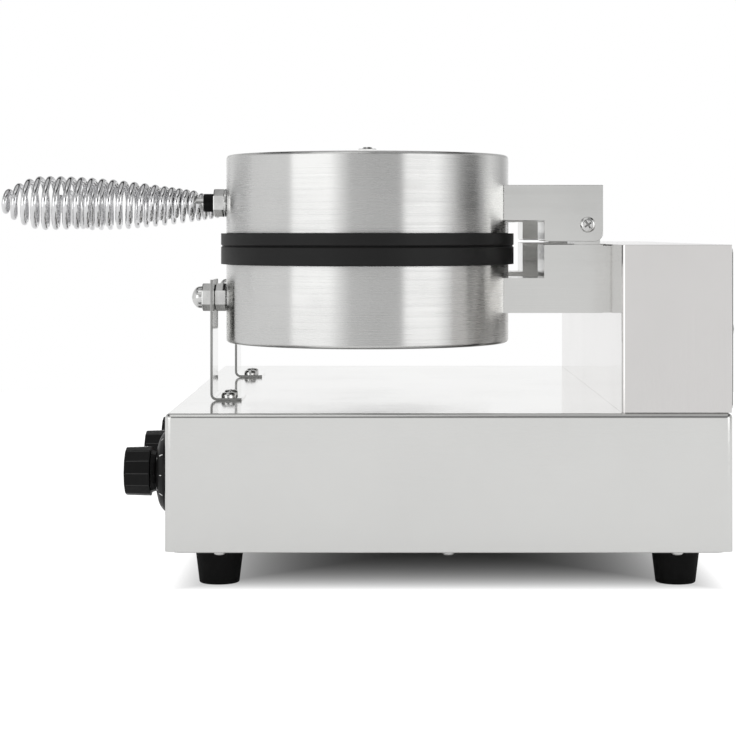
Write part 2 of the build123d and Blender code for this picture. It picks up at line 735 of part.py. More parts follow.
def hinge_pin(x):
    """Pin through the cheeks and the eye, tapped at both ends."""
    pin = rod_x(PIN_RADIUS, x - ARM_WIDTH / 2, x + ARM_WIDTH / 2, PIVOT_DEPTH, PIVOT_HEIGHT)
    for side in (-1, 1):
        end = x + side * ARM_WIDTH / 2
        depth = end - side * (PIN_SCREW_DEPTH + SEAT)
        pin -= rod_x(PIN_SCREW_RADIUS + RUN_FIT, min(end, depth), max(end, depth), PIVOT_DEPTH, PIVOT_HEIGHT)
    return pin


def hinge_screws(x):
    screw = pan_screw(PIN_HEAD_RADIUS, PIN_HEAD, PIN_SCREW_RADIUS, PIN_SCREW_DEPTH)
    return [
        Pos(x + side * ARM_WIDTH / 2, PIVOT_DEPTH, PIVOT_HEIGHT) * Rot(0, side * 90, 0) * screw
        for side in (-1, 1)
    ]


# Support in front of each lower drum


def support_bracket(x):
    """Bent strip: a foot on the base, a rounded bend and an upright with the bolt hole."""
    front = BRACKET_BACK - BRACKET_SHEET
    back = front + BRACKET_FOOT
    strip = side_outline(
        [
            (front, BASE_TOP),
            (back, BASE_TOP),
            (back, BASE_TOP + BRACKET_SHEET),
            (BRACKET_BACK, BASE_TOP + BRACKET_SHEET),
            (BRACKET_BACK, BRACKET_TOP),
            (front, BRACKET_TOP),
        ],
        BRACKET_WIDTH,
        x,
    )
    edges = strip.edges().filter_by(Axis.X)
    outer = edges.filter_by_position(Axis.Z, BASE_TOP, BASE_TOP).sort_by(Axis.Y)[0]
    strip = fillet(outer, BRACKET_BEND + BRACKET_SHEET)
    edges = strip.edges().filter_by(Axis.X)
    level = BASE_TOP + BRACKET_SHEET
    inner = edges.filter_by_position(Axis.Z, level, level).sort_by(Axis.Y)[0]
    strip = fillet(inner, BRACKET_BEND)
    strip -= rod_y(BOLT_RADIUS + SCREW_ROOM, front, BRACKET_BACK, x, SUPPORT_HEIGHT)
    for u, v in bracket_screw_places(x):
        strip -= rod_z(BRACKET_SCREW_RADIUS + SCREW_ROOM, BASE_TOP, level, u, v)
    return strip


def bracket_screws():
    screw = pan_screw(BRACKET_SCREW_HEAD_RADIUS, BRACKET_SCREW_HEAD, BRACKET_SCREW_RADIUS, SCREW_GRIP)
    level = BASE_TOP + BRACKET_SHEET
    return [Pos(u, v, level) * screw for x in HEADS.values() for u, v in bracket_screw_places(x)]


def wall_bolt(tip, x, z):
    """Bolt with its head inside a drum, out through the wall to the depth tip."""
    inner = DRUM_RADIUS - DRUM_WALL
    face = HEAD_DEPTH - wall_depth(inner, BOLT_HEAD_RADIUS) + SEAT
    return rod_y(BOLT_RADIUS, tip, face, x, z) + rod_y(BOLT_HEAD_RADIUS, face, face + BOLT_HEAD, x, z)


def support_bolt(x):
    return wall_bolt(BRACKET_BACK - BRACKET_SHEET - CAP_NUT_LENGTH + CAP_NUT_WALL + SEAT, x, SUPPORT_HEIGHT)


def hex_nut(y_back, x, z):
    nut = hex_y(NUT_FLATS, y_back - NUT_THICKNESS, y_back, x, z)
    return nut - rod_y(BOLT_RADIUS + RUN_FIT, y_back - NUT_THICKNESS, y_back, x, z)


def cap_nut(x):
    """Nut with a domed cap over a blind bore."""
    back = BRACKET_BACK - BRACKET_SHEET
    dome_radius = NUT_FLATS / 2 - SCREW_ROOM
    nut = hex_y(NUT_FLATS, back - CAP_NUT_HEX, back, x, SUPPORT_HEIGHT)
    dome = Pos(x, back - CAP_NUT_LENGTH + dome_radius, SUPPORT_HEIGHT) * Sphere(dome_radius)
    nut += dome & slab(
        x - NUT_FLATS, x + NUT_FLATS, back - CAP_NUT_LENGTH, back - CAP_NUT_HEX / 2,
        SUPPORT_HEIGHT - NUT_FLATS, SUPPORT_HEIGHT + NUT_FLATS,
    )
    return nut - rod_y(BOLT_RADIUS + RUN_FIT, back - CAP_NUT_LENGTH + CAP_NUT_WALL, back, x, SUPPORT_HEIGHT)


# Handles


def handle_stud(x):
    """Bolt from inside the lid's drum, thinner where the coil grips it."""
    end = rod_y(SPIGOT_END_RADIUS, SLEEVE_FRONT - SPIGOT_END, SLEEVE_FRONT, x, HANDLE_HEIGHT)
    return wall_bolt(SLEEVE_FRONT, x, HANDLE_HEIGHT) + end


def handle_nut(x):
    washer = rod_y(WASHER_RADIUS, NUT_FACE - WASHER, NUT_FACE, x, HANDLE_HEIGHT)
    washer -= rod_y(BOLT_RADIUS + RUN_FIT, NUT_FACE - WASHER, NUT_FACE, x, HANDLE_HEIGHT)
    return [washer, hex_nut(NUT_FACE - WASHER, x, HANDLE_HEIGHT)]


def handle_sleeve(x):
    back = SLEEVE_FRONT + SLEEVE
    sleeve = rod_y(SLEEVE_RADIUS, SLEEVE_FRONT, back, x, HANDLE_HEIGHT)
    return sleeve - rod_y(BOLT_RADIUS + RUN_FIT, SLEEVE_FRONT, back, x, HANDLE_HEIGHT)


def coil_length():
    return HANDLE_LENGTH - WIRE - COIL_END_GAP - 2 * COIL_END_LEAN


def coil_advance(turn):
    """How far the wire's middle has come from the tip after so many turns; the pitch narrows over one turn."""
    open_turns = COIL_TURNS - TIGHT_TURNS
    open_pitch = (coil_length() - TIGHT_TURNS * TIGHT_PITCH) / open_turns
    past = turn - open_turns + 0.5
    slowed = 0 if past < 0 else past**2 / 2 if past < 1 else past - 0.5
    return open_pitch * turn - (open_pitch - TIGHT_PITCH) * slowed


def coil_radius(turn):
    """Radius of the wire's middle: a quick rise to the barrel and a long fall to the root."""
    along = coil_advance(turn)
    barrel = COIL_BARREL_RADIUS - WIRE / 2
    rise = COIL_BARREL_FROM_TIP - WIRE / 2
    if along < rise:
        tip = COIL_TIP_RADIUS - WIRE / 2
        return tip + (barrel - tip) * sin(pi / 2 * along / rise)
    root = COIL_ROOT_RADIUS - WIRE / 2
    return root + (barrel - root) * cos(pi / 2 * (along - rise) / (coil_length() - rise))


def coil_point(turn):
    radius = coil_radius(turn)
    angle = 2 * pi * turn
    y = coil_advance(turn) - HANDLE_TIP + WIRE / 2 + COIL_END_LEAN
    return Vector(radius * cos(angle), y, HANDLE_HEIGHT + radius * sin(angle))


def coil_tangent(turn):
    step = 1e-4
    return (coil_point(turn + step) - coil_point(turn - step)).normalized()


def biarc(start, start_way, end, end_way):
    """Two arcs that leave start and reach end in the given directions and meet in between."""
    chord = end - start
    ways = start_way + end_way
    share = 2 * (1 - start_way.dot(end_way))
    along = chord.dot(ways)
    reach = (sqrt(along**2 + share * chord.dot(chord)) - along) / share
    first = start + start_way * reach
    last = end - end_way * reach
    middle = (first + last) * 0.5
    return [
        Edge.make_tangent_arc(start, start_way, middle),
        Edge.make_tangent_arc(middle, last - first, end),
    ]


def handle_coil(x):
    """Barrel wound wire: one unbroken tube of half-turn biarcs with a straight run at each end."""
    halves = [number / 2 for number in range(2 * COIL_TURNS + 1)]
    points = [coil_point(turn) for turn in halves]
    ways = [coil_tangent(turn) for turn in halves]
    start = points[0] - ways[0] * WIRE
    edges = [Edge.make_line(start, points[0])]
    for i in range(len(halves) - 1):
        edges += biarc(points[i], ways[i], points[i + 1], ways[i + 1])
    edges.append(Edge.make_line(points[-1], points[-1] + ways[-1] * WIRE))
    section = Plane(start, x_dir=(1, 0, 0), z_dir=ways[0]) * RegularPolygon(WIRE / 2, WIRE_SIDES)
    return Pos(x, 0, 0) * sweep(section, path=Wire(edges))


def coil_least_gap():
    """Least gap of the wire to itself, on points along its middle line that lie over half a turn apart."""
    per_turn = 24
    points = [tuple(coil_point(number / per_turn)) for number in range(COIL_TURNS * per_turn + 1)]
    apart = per_turn // 2 + 1
    nearest = min(
        dist(points[i], points[j])
        for i in range(len(points))
        for j in range(i + apart, min(i + 2 * per_turn, len(points)))
    )
    return nearest - WIRE


def top_fixing(x):
    """Bolt through the top of a lid, with its nut outside."""
    bolt = pan_screw(TOP_BOLT_HEAD_RADIUS, TOP_BOLT_HEAD, TOP_BOLT_RADIUS, DRUM_WALL + TOP_NUT + DRUM_WALL)
    bolt = Pos(x, HEAD_DEPTH, UPPER_DRUM_TOP - DRUM_WALL) * Rot(180, 0, 0) * bolt
    side = RegularPolygon(TOP_NUT_FLATS / 2, 6, major_radius=False)
    side -= Circle(TOP_BOLT_RADIUS + RUN_FIT)
    return [bolt, Pos(x, HEAD_DEPTH, UPPER_DRUM_TOP) * extrude(side, TOP_NUT)]


# Controls


def knob(x):
    """Twelve-sided grip with a waist behind it, on its spindle."""
    front = Pos(0, 0, KNOB_LENGTH) * RegularPolygon(KNOB_FRONT_RADIUS, KNOB_SIDES)
    middle = Pos(0, 0, KNOB_NECK) * RegularPolygon(KNOB_RADIUS, KNOB_SIDES)
    back = RegularPolygon(KNOB_BACK_RADIUS, KNOB_SIDES)
    body = loft([middle, front], ruled=True) + loft([back, middle], ruled=True)
    body = chamfer(body.faces().sort_by(Axis.Z)[-1].edges(), KNOB_CHAMFER)
    body += Pos(0, 0, -SPINDLE_LENGTH / 2 + KNOB_NECK / 2) * Cylinder(SPINDLE_RADIUS, SPINDLE_LENGTH + KNOB_NECK)
    return facing_front(body, x, knob_back(), CONTROL_LEVEL)


def knob_back():
    return PANEL - DIAL_HEIGHT - MOVE_ROOM


def dial(x):
    """Domed black dial plate round a knob's spindle."""
    hole = BUSH_RADIUS + SCREW_ROOM
    body = turned(
        [
            (hole, 0),
            (DIAL_RADIUS, 0),
            (DIAL_RADIUS, DIAL_EDGE),
            (DIAL_SHOULDER_RADIUS, DIAL_SHOULDER),
            (DIAL_TOP_RADIUS, DIAL_HEIGHT),
            (hole, DIAL_HEIGHT),
        ]
    )
    return facing_front(body, x, PANEL, CONTROL_LEVEL)


def control_body(x, depth):
    """Thermostat or timer behind the panel, with the bush that its spindle turns in."""
    half = CONTROL_SIZE / 2
    front = PANEL + SHEET
    body = slab(x - half, x + half, front, front + depth, CONTROL_LEVEL - half, CONTROL_LEVEL + half)
    body += rod_y(BUSH_RADIUS, PANEL - BUSH_REACH, front, x, CONTROL_LEVEL)
    end = knob_back() + SPINDLE_LENGTH + SEAT
    return body - rod_y(SPINDLE_RADIUS + RUN_FIT, PANEL - BUSH_REACH, end, x, CONTROL_LEVEL)


def switch_opening_width():
    return SWITCH_WIDTH - 4 * SWITCH_WALL


def switch_opening_height():
    return 2 * (ROCKER_RADIUS + MOVE_ROOM)


def rocker_axis():
    return PANEL - SWITCH_RIM + ROCKER_RADIUS - ROCKER_PROUD


def switch_frame(x):
    """Rim on the panel with a deep socket for the rocker, closed at the back."""
    width = switch_opening_width()
    height = switch_opening_height()
    rim = slab(
        x - SWITCH_WIDTH / 2, x + SWITCH_WIDTH / 2, PANEL - SWITCH_RIM, PANEL,
        SWITCH_LEVEL - SWITCH_HEIGHT / 2, SWITCH_LEVEL + SWITCH_HEIGHT / 2,
    )
    rim = chamfer(rim.faces().sort_by(Axis.Y)[0].edges(), SWITCH_CHAMFER)
    body_width = width / 2 + SWITCH_WALL
    body_height = height / 2 + SWITCH_WALL
    body = slab(
        x - body_width, x + body_width, PANEL, PANEL + SWITCH_BODY,
        SWITCH_LEVEL - body_height, SWITCH_LEVEL + body_height,
    )
    frame = rim + body
    frame -= slab(
        x - width / 2, x + width / 2, PANEL - SWITCH_RIM, PANEL + SWITCH_BODY - SWITCH_WALL,
        SWITCH_LEVEL - height / 2, SWITCH_LEVEL + height / 2,
    )
    axle_reach = width / 2 + SWITCH_WALL / 2
    return frame - rod_x(ROCKER_AXLE_RADIUS + RUN_FIT, x - axle_reach, x + axle_reach, rocker_axis(), SWITCH_LEVEL)


def rocker(x):
    """Rocker with its two faces in a shallow V, tipped to off, on an axle through its sides."""
    width = switch_opening_width() - 2 * MOVE_ROOM
    axis = rocker_axis()
    drum_part = rod_x(ROCKER_RADIUS, x - width / 2, x + width / 2, axis, SWITCH_LEVEL)
    low = axis - ROCKER_RADIUS * cos(radians(ROCKER_ANGLE))
    rise = ROCKER_RADIUS * tan(radians(ROCKER_ANGLE))
    vee = side_outline(
        [
            (low - ROCKER_RADIUS, SWITCH_LEVEL + 2 * ROCKER_RADIUS),
            (low - ROCKER_RADIUS, SWITCH_LEVEL - 2 * ROCKER_RADIUS),
            (low, SWITCH_LEVEL - 2 * ROCKER_RADIUS),
            (low + rise + ROCKER_PROUD / 2, SWITCH_LEVEL),
            (low + rise - ROCKER_PROUD / 2, SWITCH_LEVEL + 2 * ROCKER_RADIUS),
        ],
        width,
        x,
    )
    reach = width / 2 + MOVE_ROOM + SWITCH_WALL / 2 - RUN_FIT
    body = drum_part - vee
    return body + rod_x(ROCKER_AXLE_RADIUS, x - reach, x + reach, axis, SWITCH_LEVEL)


def lamp(x):
    body = turned(
        [
            (0, -LAMP_DEPTH),
            (LAMP_RADIUS, -LAMP_DEPTH),
            (LAMP_RADIUS, 0),
            (LAMP_RIM_RADIUS, 0),
            (LAMP_RIM_RADIUS, LAMP_RIM),
            (LAMP_RADIUS, LAMP_RIM),
            (LAMP_RADIUS / 2, LAMP_PROUD),
            (0, LAMP_PROUD),
        ]
    )
    return facing_front(body, x, PANEL, LAMP_LEVEL)


def write_base():
    write("base_shell", base_shell())
    write("bottom_plate", bottom_plate())
    write("bottom_plate_screws", *bottom_plate_screws())
    write("feet", *feet())
    write("rear_housing", rear_housing())
    write("rear_cover", rear_cover())
    write("rear_cover_screws", *rear_cover_screws())
    write("cord_gland", cord_gland())
    write("terminal_block", terminal_block())


def write_heads():
    heads = HEADS.values()
    for side, x in HEADS.items():
        write(f"{side}_lower_drum", lower_drum(x))
        write(f"{side}_lower_plate", lower_plate(x))
        write(f"{side}_lower_arm", lower_arm(x))
        write(f"{side}_support_bracket", support_bracket(x))
    write("lower_elements", *[lower_element(x) for x in heads])
    write("lower_insulation", *[lower_insulation(x) for x in heads])
    write("bracket_screws", *bracket_screws())
    write("support_bolts", *[support_bolt(x) for x in heads])
    write("lock_nuts", *[hex_nut(NUT_FACE, x, SUPPORT_HEIGHT) for x in heads])
    write("cap_nuts", *[cap_nut(x) for x in heads])


def write_lids():
    for side, x in HEADS.items():
        write(f"{side}_upper_drum", upper_drum(x))
        write(f"{side}_upper_plate", upper_plate(x))
        write(f"{side}_upper_element", upper_element(x))
        write(f"{side}_upper_insulation", upper_insulation(x))
        write(f"{side}_upper_arm", upper_arm(x))
        write(f"{side}_hinge_pin", hinge_pin(x))
        write(f"{side}_hinge_screws", *hinge_screws(x))
        write(f"{side}_top_fixing", *top_fixing(x))
        write(f"{side}_handle_stud", handle_stud(x))
        write(f"{side}_handle_nut", *handle_nut(x))
        write(f"{side}_handle_sleeve", handle_sleeve(x))
        write(f"{side}_handle_coil", handle_coil(x))


def write_controls():
    places = knob_places()
    for name, x in places.items():
        write(f"{name}_knob", knob(x))
    write("dials", *[dial(x) for x in places.values()])
    thermostats = [x for name, x in places.items() if name.endswith("thermostat")]
    timers = [x for name, x in places.items() if name.endswith("timer")]
    write("thermostats", *[control_body(x, THERMOSTAT_DEPTH) for x in thermostats])
    write("timers", *[control_body(x, TIMER_DEPTH) for x in timers])
    for side, x in HEADS.items():
        write(f"{side}_rocker", rocker(x))
    write("switch_frames", *[switch_frame(x) for x in HEADS.values()])
    write("lamps", *[lamp(x) for x in HEADS.values()])


write_base()
write_heads()
write_lids()
write_controls()
print("least gap of the handle wire to itself, mm:", round(coil_least_gap(), 2))
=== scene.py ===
"""The looks of a two-head Belgian waffle maker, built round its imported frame."""

import logging
import math
from collections.abc import Iterable, Mapping, Sequence
from dataclasses import dataclass, field
from enum import Enum
from functools import cache

import bmesh
import bpy
from mathutils import Matrix, Vector


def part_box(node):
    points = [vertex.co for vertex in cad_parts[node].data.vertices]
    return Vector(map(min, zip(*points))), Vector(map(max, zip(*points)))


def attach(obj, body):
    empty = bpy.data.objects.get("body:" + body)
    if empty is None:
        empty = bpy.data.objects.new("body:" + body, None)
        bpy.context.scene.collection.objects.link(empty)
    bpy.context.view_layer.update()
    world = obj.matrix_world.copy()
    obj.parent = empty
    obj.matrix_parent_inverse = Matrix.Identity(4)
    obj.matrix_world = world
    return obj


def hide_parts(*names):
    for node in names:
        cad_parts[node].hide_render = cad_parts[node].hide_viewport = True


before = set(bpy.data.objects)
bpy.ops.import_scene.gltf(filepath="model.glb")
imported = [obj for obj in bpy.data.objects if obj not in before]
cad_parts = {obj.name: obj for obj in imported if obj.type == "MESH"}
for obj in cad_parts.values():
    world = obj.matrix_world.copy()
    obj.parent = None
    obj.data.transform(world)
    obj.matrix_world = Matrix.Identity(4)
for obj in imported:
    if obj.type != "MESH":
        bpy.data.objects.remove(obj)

LOG = logging.getLogger("waffle_maker")
Triple = tuple[float, float, float]
Pair = tuple[float, float]
Socket = bpy.types.NodeSocket
Mesh = bmesh.types.BMesh

# Lengths are in millimetres, where nothing else is said, and MM turns them into metres.
MM = 0.001
HEADS = {"left": -115.0, "right": 115.0}  # where the heads stand along X
FRONT = -127.5  # of the case
BACK = 242.5  # of the case
NUT_FACE = -96.85  # where the nuts bear against the drums
SHEET = 1.2  # wall of the drums


class Lay(Enum):
    """Which way the fine lines of a brushed finish run, as the scale of its pattern along its three axes."""

    ALONG_X = (14.0, 1500.0, 1500.0)
    ALONG_Y = (1500.0, 14.0, 1500.0)
    ALONG_Z = (1500.0, 1500.0, 14.0)
    AROUND = (14.0, 1500.0, 14.0)
    NONE = (300.0, 300.0, 300.0)


# Finishes


def grey(level: float, cover: float = 1.0) -> tuple[float, float, float, float]:
    """A grey of that level and cover."""
    return (level, level, level, cover)


def tint(colour: Triple, factor: float = 1.0) -> tuple[float, ...]:
    """A colour made lighter or darker by a factor, and opaque."""
    return (*(min(1.0, channel * factor) for channel in colour), 1.0)


class Graph:
    """A shader tree in the making, with short ways to add and join its nodes."""

    def __init__(self, tree: bpy.types.NodeTree) -> None:
        """Takes up a tree."""
        self.tree = tree

    def feed(self, node: bpy.types.Node, feeds: Mapping[str | int, object]) -> None:
        """Gives inputs of a node their sources: a socket is joined to it, and a value is set on it."""
        for key, source in feeds.items():
            if isinstance(source, Socket):
                self.tree.links.new(source, node.inputs[key])
            else:
                node.inputs[key].default_value = source

    def add(
        self, kind: str, feeds: Mapping[str | int, object] | None = None, **settings: object
    ) -> bpy.types.Node:
        """Adds a node.

        Args:
            kind: Its type, without the ShaderNode in front.
            feeds: The sources of its inputs, by their names or numbers.
            **settings: Its own properties, which are set first.

        Returns:
            The node.
        """
        node = self.tree.nodes.new(f"ShaderNode{kind}")
        for label, value in settings.items():
            setattr(node, label, value)
        self.feed(node, feeds or {})
        return node

    def calc(self, operation: str, *sources: Socket | float) -> Socket:
        """Works out a value from others."""
        return self.add("Math", dict(enumerate(sources)), operation=operation).outputs["Value"]

    def mix(self, share: Socket | float, first: object, second: object, kind: str = "RGBA") -> Socket:
        """Mixes two colours, or two values with the kind FLOAT, each a socket or a constant."""
        return self.add("Mix", {"Factor": share, "A": first, "B": second}, data_type=kind).outputs["Result"]

    def span(self, source: Socket, given: Pair = (0.0, 1.0), to: Pair = (0.0, 1.0)) -> Socket:
        """Maps the values between two given ones to those between two others."""
        ends = dict(zip(("From Min", "From Max", "To Min", "To Max"), (*given, *to)))
        return self.add("MapRange", {"Value": source, **ends}).outputs["Result"]

    def noise(self, vector: Socket, scale: Socket | float, detail: float, roughness: float = 0.5) -> Socket:
        """Cloudy noise."""
        feeds = {"Vector": vector, "Scale": scale, "Detail": detail, "Roughness": roughness}
        return self.add("TexNoise", feeds).outputs["Fac"]


class ShaderGroups:
    """Effects that several finishes share, each built once as a node group."""

    @staticmethod
    def start(
        name: str, second: str, kind: str, outputs: Sequence[str]
    ) -> tuple[Graph, bpy.types.NodeOutputs, bpy.types.Node]:
        """Begins a node group that reads a Vector and one more input, and gives values.

        Args:
            name: The group's name.
            second: Name of the other input.
            kind: Type of the other input, without the NodeSocket in front.
            outputs: Names of the outputs.

        Returns:
            The group's graph, what it is given, and the node that takes what it gives.
        """
        tree = bpy.data.node_groups.new(name, "ShaderNodeTree")
        for label, sort in (("Vector", "Vector"), (second, kind)):
            tree.interface.new_socket(name=label, in_out="INPUT", socket_type=f"NodeSocket{sort}")
        for label in outputs:
            tree.interface.new_socket(name=label, in_out="OUTPUT", socket_type="NodeSocketFloat")
        return Graph(tree), tree.nodes.new("NodeGroupInput").outputs, tree.nodes.new("NodeGroupOutput")

    @staticmethod
    @cache
    def brushing() -> bpy.types.NodeTree:
        """Fine and broad lines of brushed metal: a Vector and a Lay in, Grain and Height out."""
        graph, given, out = ShaderGroups.start("brushing", "Lay", "Vector", ("Grain", "Height"))
        feeds = {0: given["Vector"], 1: given["Lay"]}
        lines = graph.add("VectorMath", feeds, operation="MULTIPLY").outputs[0]
        broad = graph.add("VectorMath", {0: lines, "Scale": 0.23}, operation="SCALE").outputs[0]
        height = graph.mix(0.45, graph.noise(lines, 1.0, 3.0), graph.noise(broad, 1.0, 2.0), "FLOAT")
        graph.feed(out, {"Grain": graph.span(height, (0.35, 0.65)), "Height": height})
        return graph.tree

    @staticmethod
    @cache
    def smudges() -> bpy.types.NodeTree:
        """Soft uneven patches, as handling and heat leave them: a Vector and a Scale in, a Patch out."""
        graph, given, out = ShaderGroups.start("smudges", "Scale", "Float", ("Patch",))
        cloud = graph.noise(given["Vector"], given["Scale"], 5.0, 0.6)
        graph.feed(out, {"Patch": graph.span(cloud, (0.38, 0.66))})
        return graph.tree

    @staticmethod
    @cache
    def pebble() -> bpy.types.NodeTree:
        """Small bumps of a moulded, cast or coated skin: a Vector and a Scale in, Cells and Height out."""
        graph, given, out = ShaderGroups.start("pebble", "Scale", "Float", ("Cells", "Height"))
        feeds = {"Vector": given["Vector"], "Scale": given["Scale"]}
        bumps = graph.add("TexVoronoi", feeds, feature="SMOOTH_F1").outputs["Distance"]
        fine = graph.noise(given["Vector"], given["Scale"], 4.0)
        graph.feed(out, {"Cells": fine, "Height": graph.mix(0.5, bumps, fine, "FLOAT")})
        return graph.tree


class Finisher(Graph):
    """One material in the making, with its Principled shader."""

    def __init__(self, name: str) -> None:
        """Starts the material, whose patterns read its Object coordinates."""
        self.material = bpy.data.materials.new(name)
        self.material.use_nodes = True
        super().__init__(self.material.node_tree)
        self.places = self.add("TexCoord").outputs
        self.vector = self.places["Object"]

    def group(self, tree: bpy.types.NodeTree, **values: object) -> bpy.types.NodeOutputs:
        """Places a node group that reads the material's coordinates, and hands back its outputs."""
        return self.add("Group", {"Vector": self.vector, **values}, node_tree=tree).outputs

    def shade(self, feeds: Mapping[str, object]) -> None:
        """Feeds the shader's own sockets."""
        self.feed(self.tree.nodes["Principled BSDF"], feeds)

    def bump(self, height: Socket, strength: float, depth: float) -> None:
        """Lets a share of a height of that depth move the shading normal."""
        feeds = {"Height": height, "Strength": strength, "Distance": depth * MM}
        self.shade({"Normal": self.add("Bump", feeds).outputs["Normal"]})


@dataclass(frozen=True)
class Finish:
    """What every finish has: its material's name and look, and the record's slot that it goes with."""

    name: str
    colour: Triple
    roughness: float
    slot: str | None = field(default=None, kw_only=True)

    def build(self) -> bpy.types.Material:
        """Makes the material."""
        made = Finisher(self.name)
        self.lay_on(made)
        return made.material

    def lay_on(self, made: Finisher) -> None:
        """Adds what sets this kind of finish apart."""
        raise NotImplementedError


@dataclass(frozen=True)
class BrushedSteel(Finish):
    """Stainless steel with fine lines in one direction."""

    lay: Lay
    grain: float = 0.06
    bump: float = 0.12

    def lay_on(self, made: Finisher) -> None:
        """Lays on the lines, with faint patches, and draws out the highlights of turned steel."""
        if self.lay is Lay.AROUND:
            made.vector = made.places["UV"]
            tangent = made.add("Tangent", direction_type="UV_MAP", uv_map="wrap").outputs["Tangent"]
            made.shade({"Tangent": tangent, "Anisotropic": 1.0, "Anisotropic Rotation": 0.25})
        lines = made.group(ShaderGroups.brushing(), Lay=self.lay.value)
        patch = made.group(ShaderGroups.smudges(), Scale=11.0)["Patch"]
        dark, light = tint(self.colour, 1.0 - self.grain), tint(self.colour, 1.0 + self.grain)
        steel = made.mix(lines["Grain"], dark, light)
        rough = made.span(lines["Grain"], to=(self.roughness - 0.03, self.roughness + 0.05))
        made.shade({
            "Base Color": made.mix(made.span(patch, to=(0.0, 0.35)), steel, tint(self.colour, 0.93)),
            "Roughness": made.calc("ADD", rough, made.span(patch, to=(0.0, 0.04))),
            "Metallic": 1.0,
        })
        made.bump(lines["Height"], self.bump, 0.04)


@dataclass(frozen=True)
class BrightPlating(Finish):
    """Polished or plated metal with faint handling marks."""

    def lay_on(self, made: Finisher) -> None:
        """Lays on the marks and very small pits."""
        patch = made.group(ShaderGroups.smudges(), Scale=90.0)["Patch"]
        made.shade({
            "Base Color": made.mix(patch, tint(self.colour, 1.03), tint(self.colour, 0.9)),
            "Roughness": made.span(patch, to=(self.roughness, self.roughness + 0.07)),
            "Metallic": 1.0,
        })
        made.bump(made.group(ShaderGroups.pebble(), Scale=700.0)["Height"], 0.04, 0.05)


@dataclass(frozen=True)
class Skin(Finish):
    """Moulded plastic, rubber, baked coating, fibre or ink: a non-metal with a fine texture."""

    scale: float
    bump: float
    variation: float = 0.2
    specular: float = 0.5
    coat: float = 0.0

    def lay_on(self, made: Finisher) -> None:
        """Lays on the texture, with lighter worn patches."""
        pebble = made.group(ShaderGroups.pebble(), Scale=self.scale)
        patch = made.group(ShaderGroups.smudges(), Scale=25.0)["Patch"]
        dark, light = tint(self.colour, 1.0 - self.variation), tint(self.colour, 1.0 + self.variation)
        skin, worn = made.mix(pebble["Cells"], dark, light), tint(self.colour, 1.0 + 2.0 * self.variation)
        made.shade({
            "Base Color": made.mix(made.span(patch, to=(0.0, 0.25)), skin, worn),
            "Roughness": made.span(patch, to=(self.roughness, self.roughness + 0.1)),
            "Specular IOR Level": self.specular,
            "Coat Weight": self.coat,
            "Coat Roughness": 0.12,
        })
        made.bump(pebble["Height"], self.bump, 0.1)


@dataclass(frozen=True)
class LampLens(Finish):
    """Coloured lens with a faint glow through its ribs."""

    glow: float

    def lay_on(self, made: Finisher) -> None:
        """Lays on the ribs and the glow."""
        feeds = {"Vector": made.vector, "Scale": 260.0}
        wave = made.add("TexWave", feeds, wave_type="BANDS", bands_direction="Z").outputs["Fac"]
        made.shade({
            "Base Color": made.mix(wave, tint(self.colour, 0.7), tint(self.colour)),
            "Emission Color": made.mix(wave, tint(self.colour, 0.5), tint(self.colour)),
            "Emission Strength": self.glow,
            "Roughness": self.roughness,
            "Coat Weight": 0.6,
            "Coat Roughness": 0.04,
        })
        made.bump(wave, 0.3, 0.2)


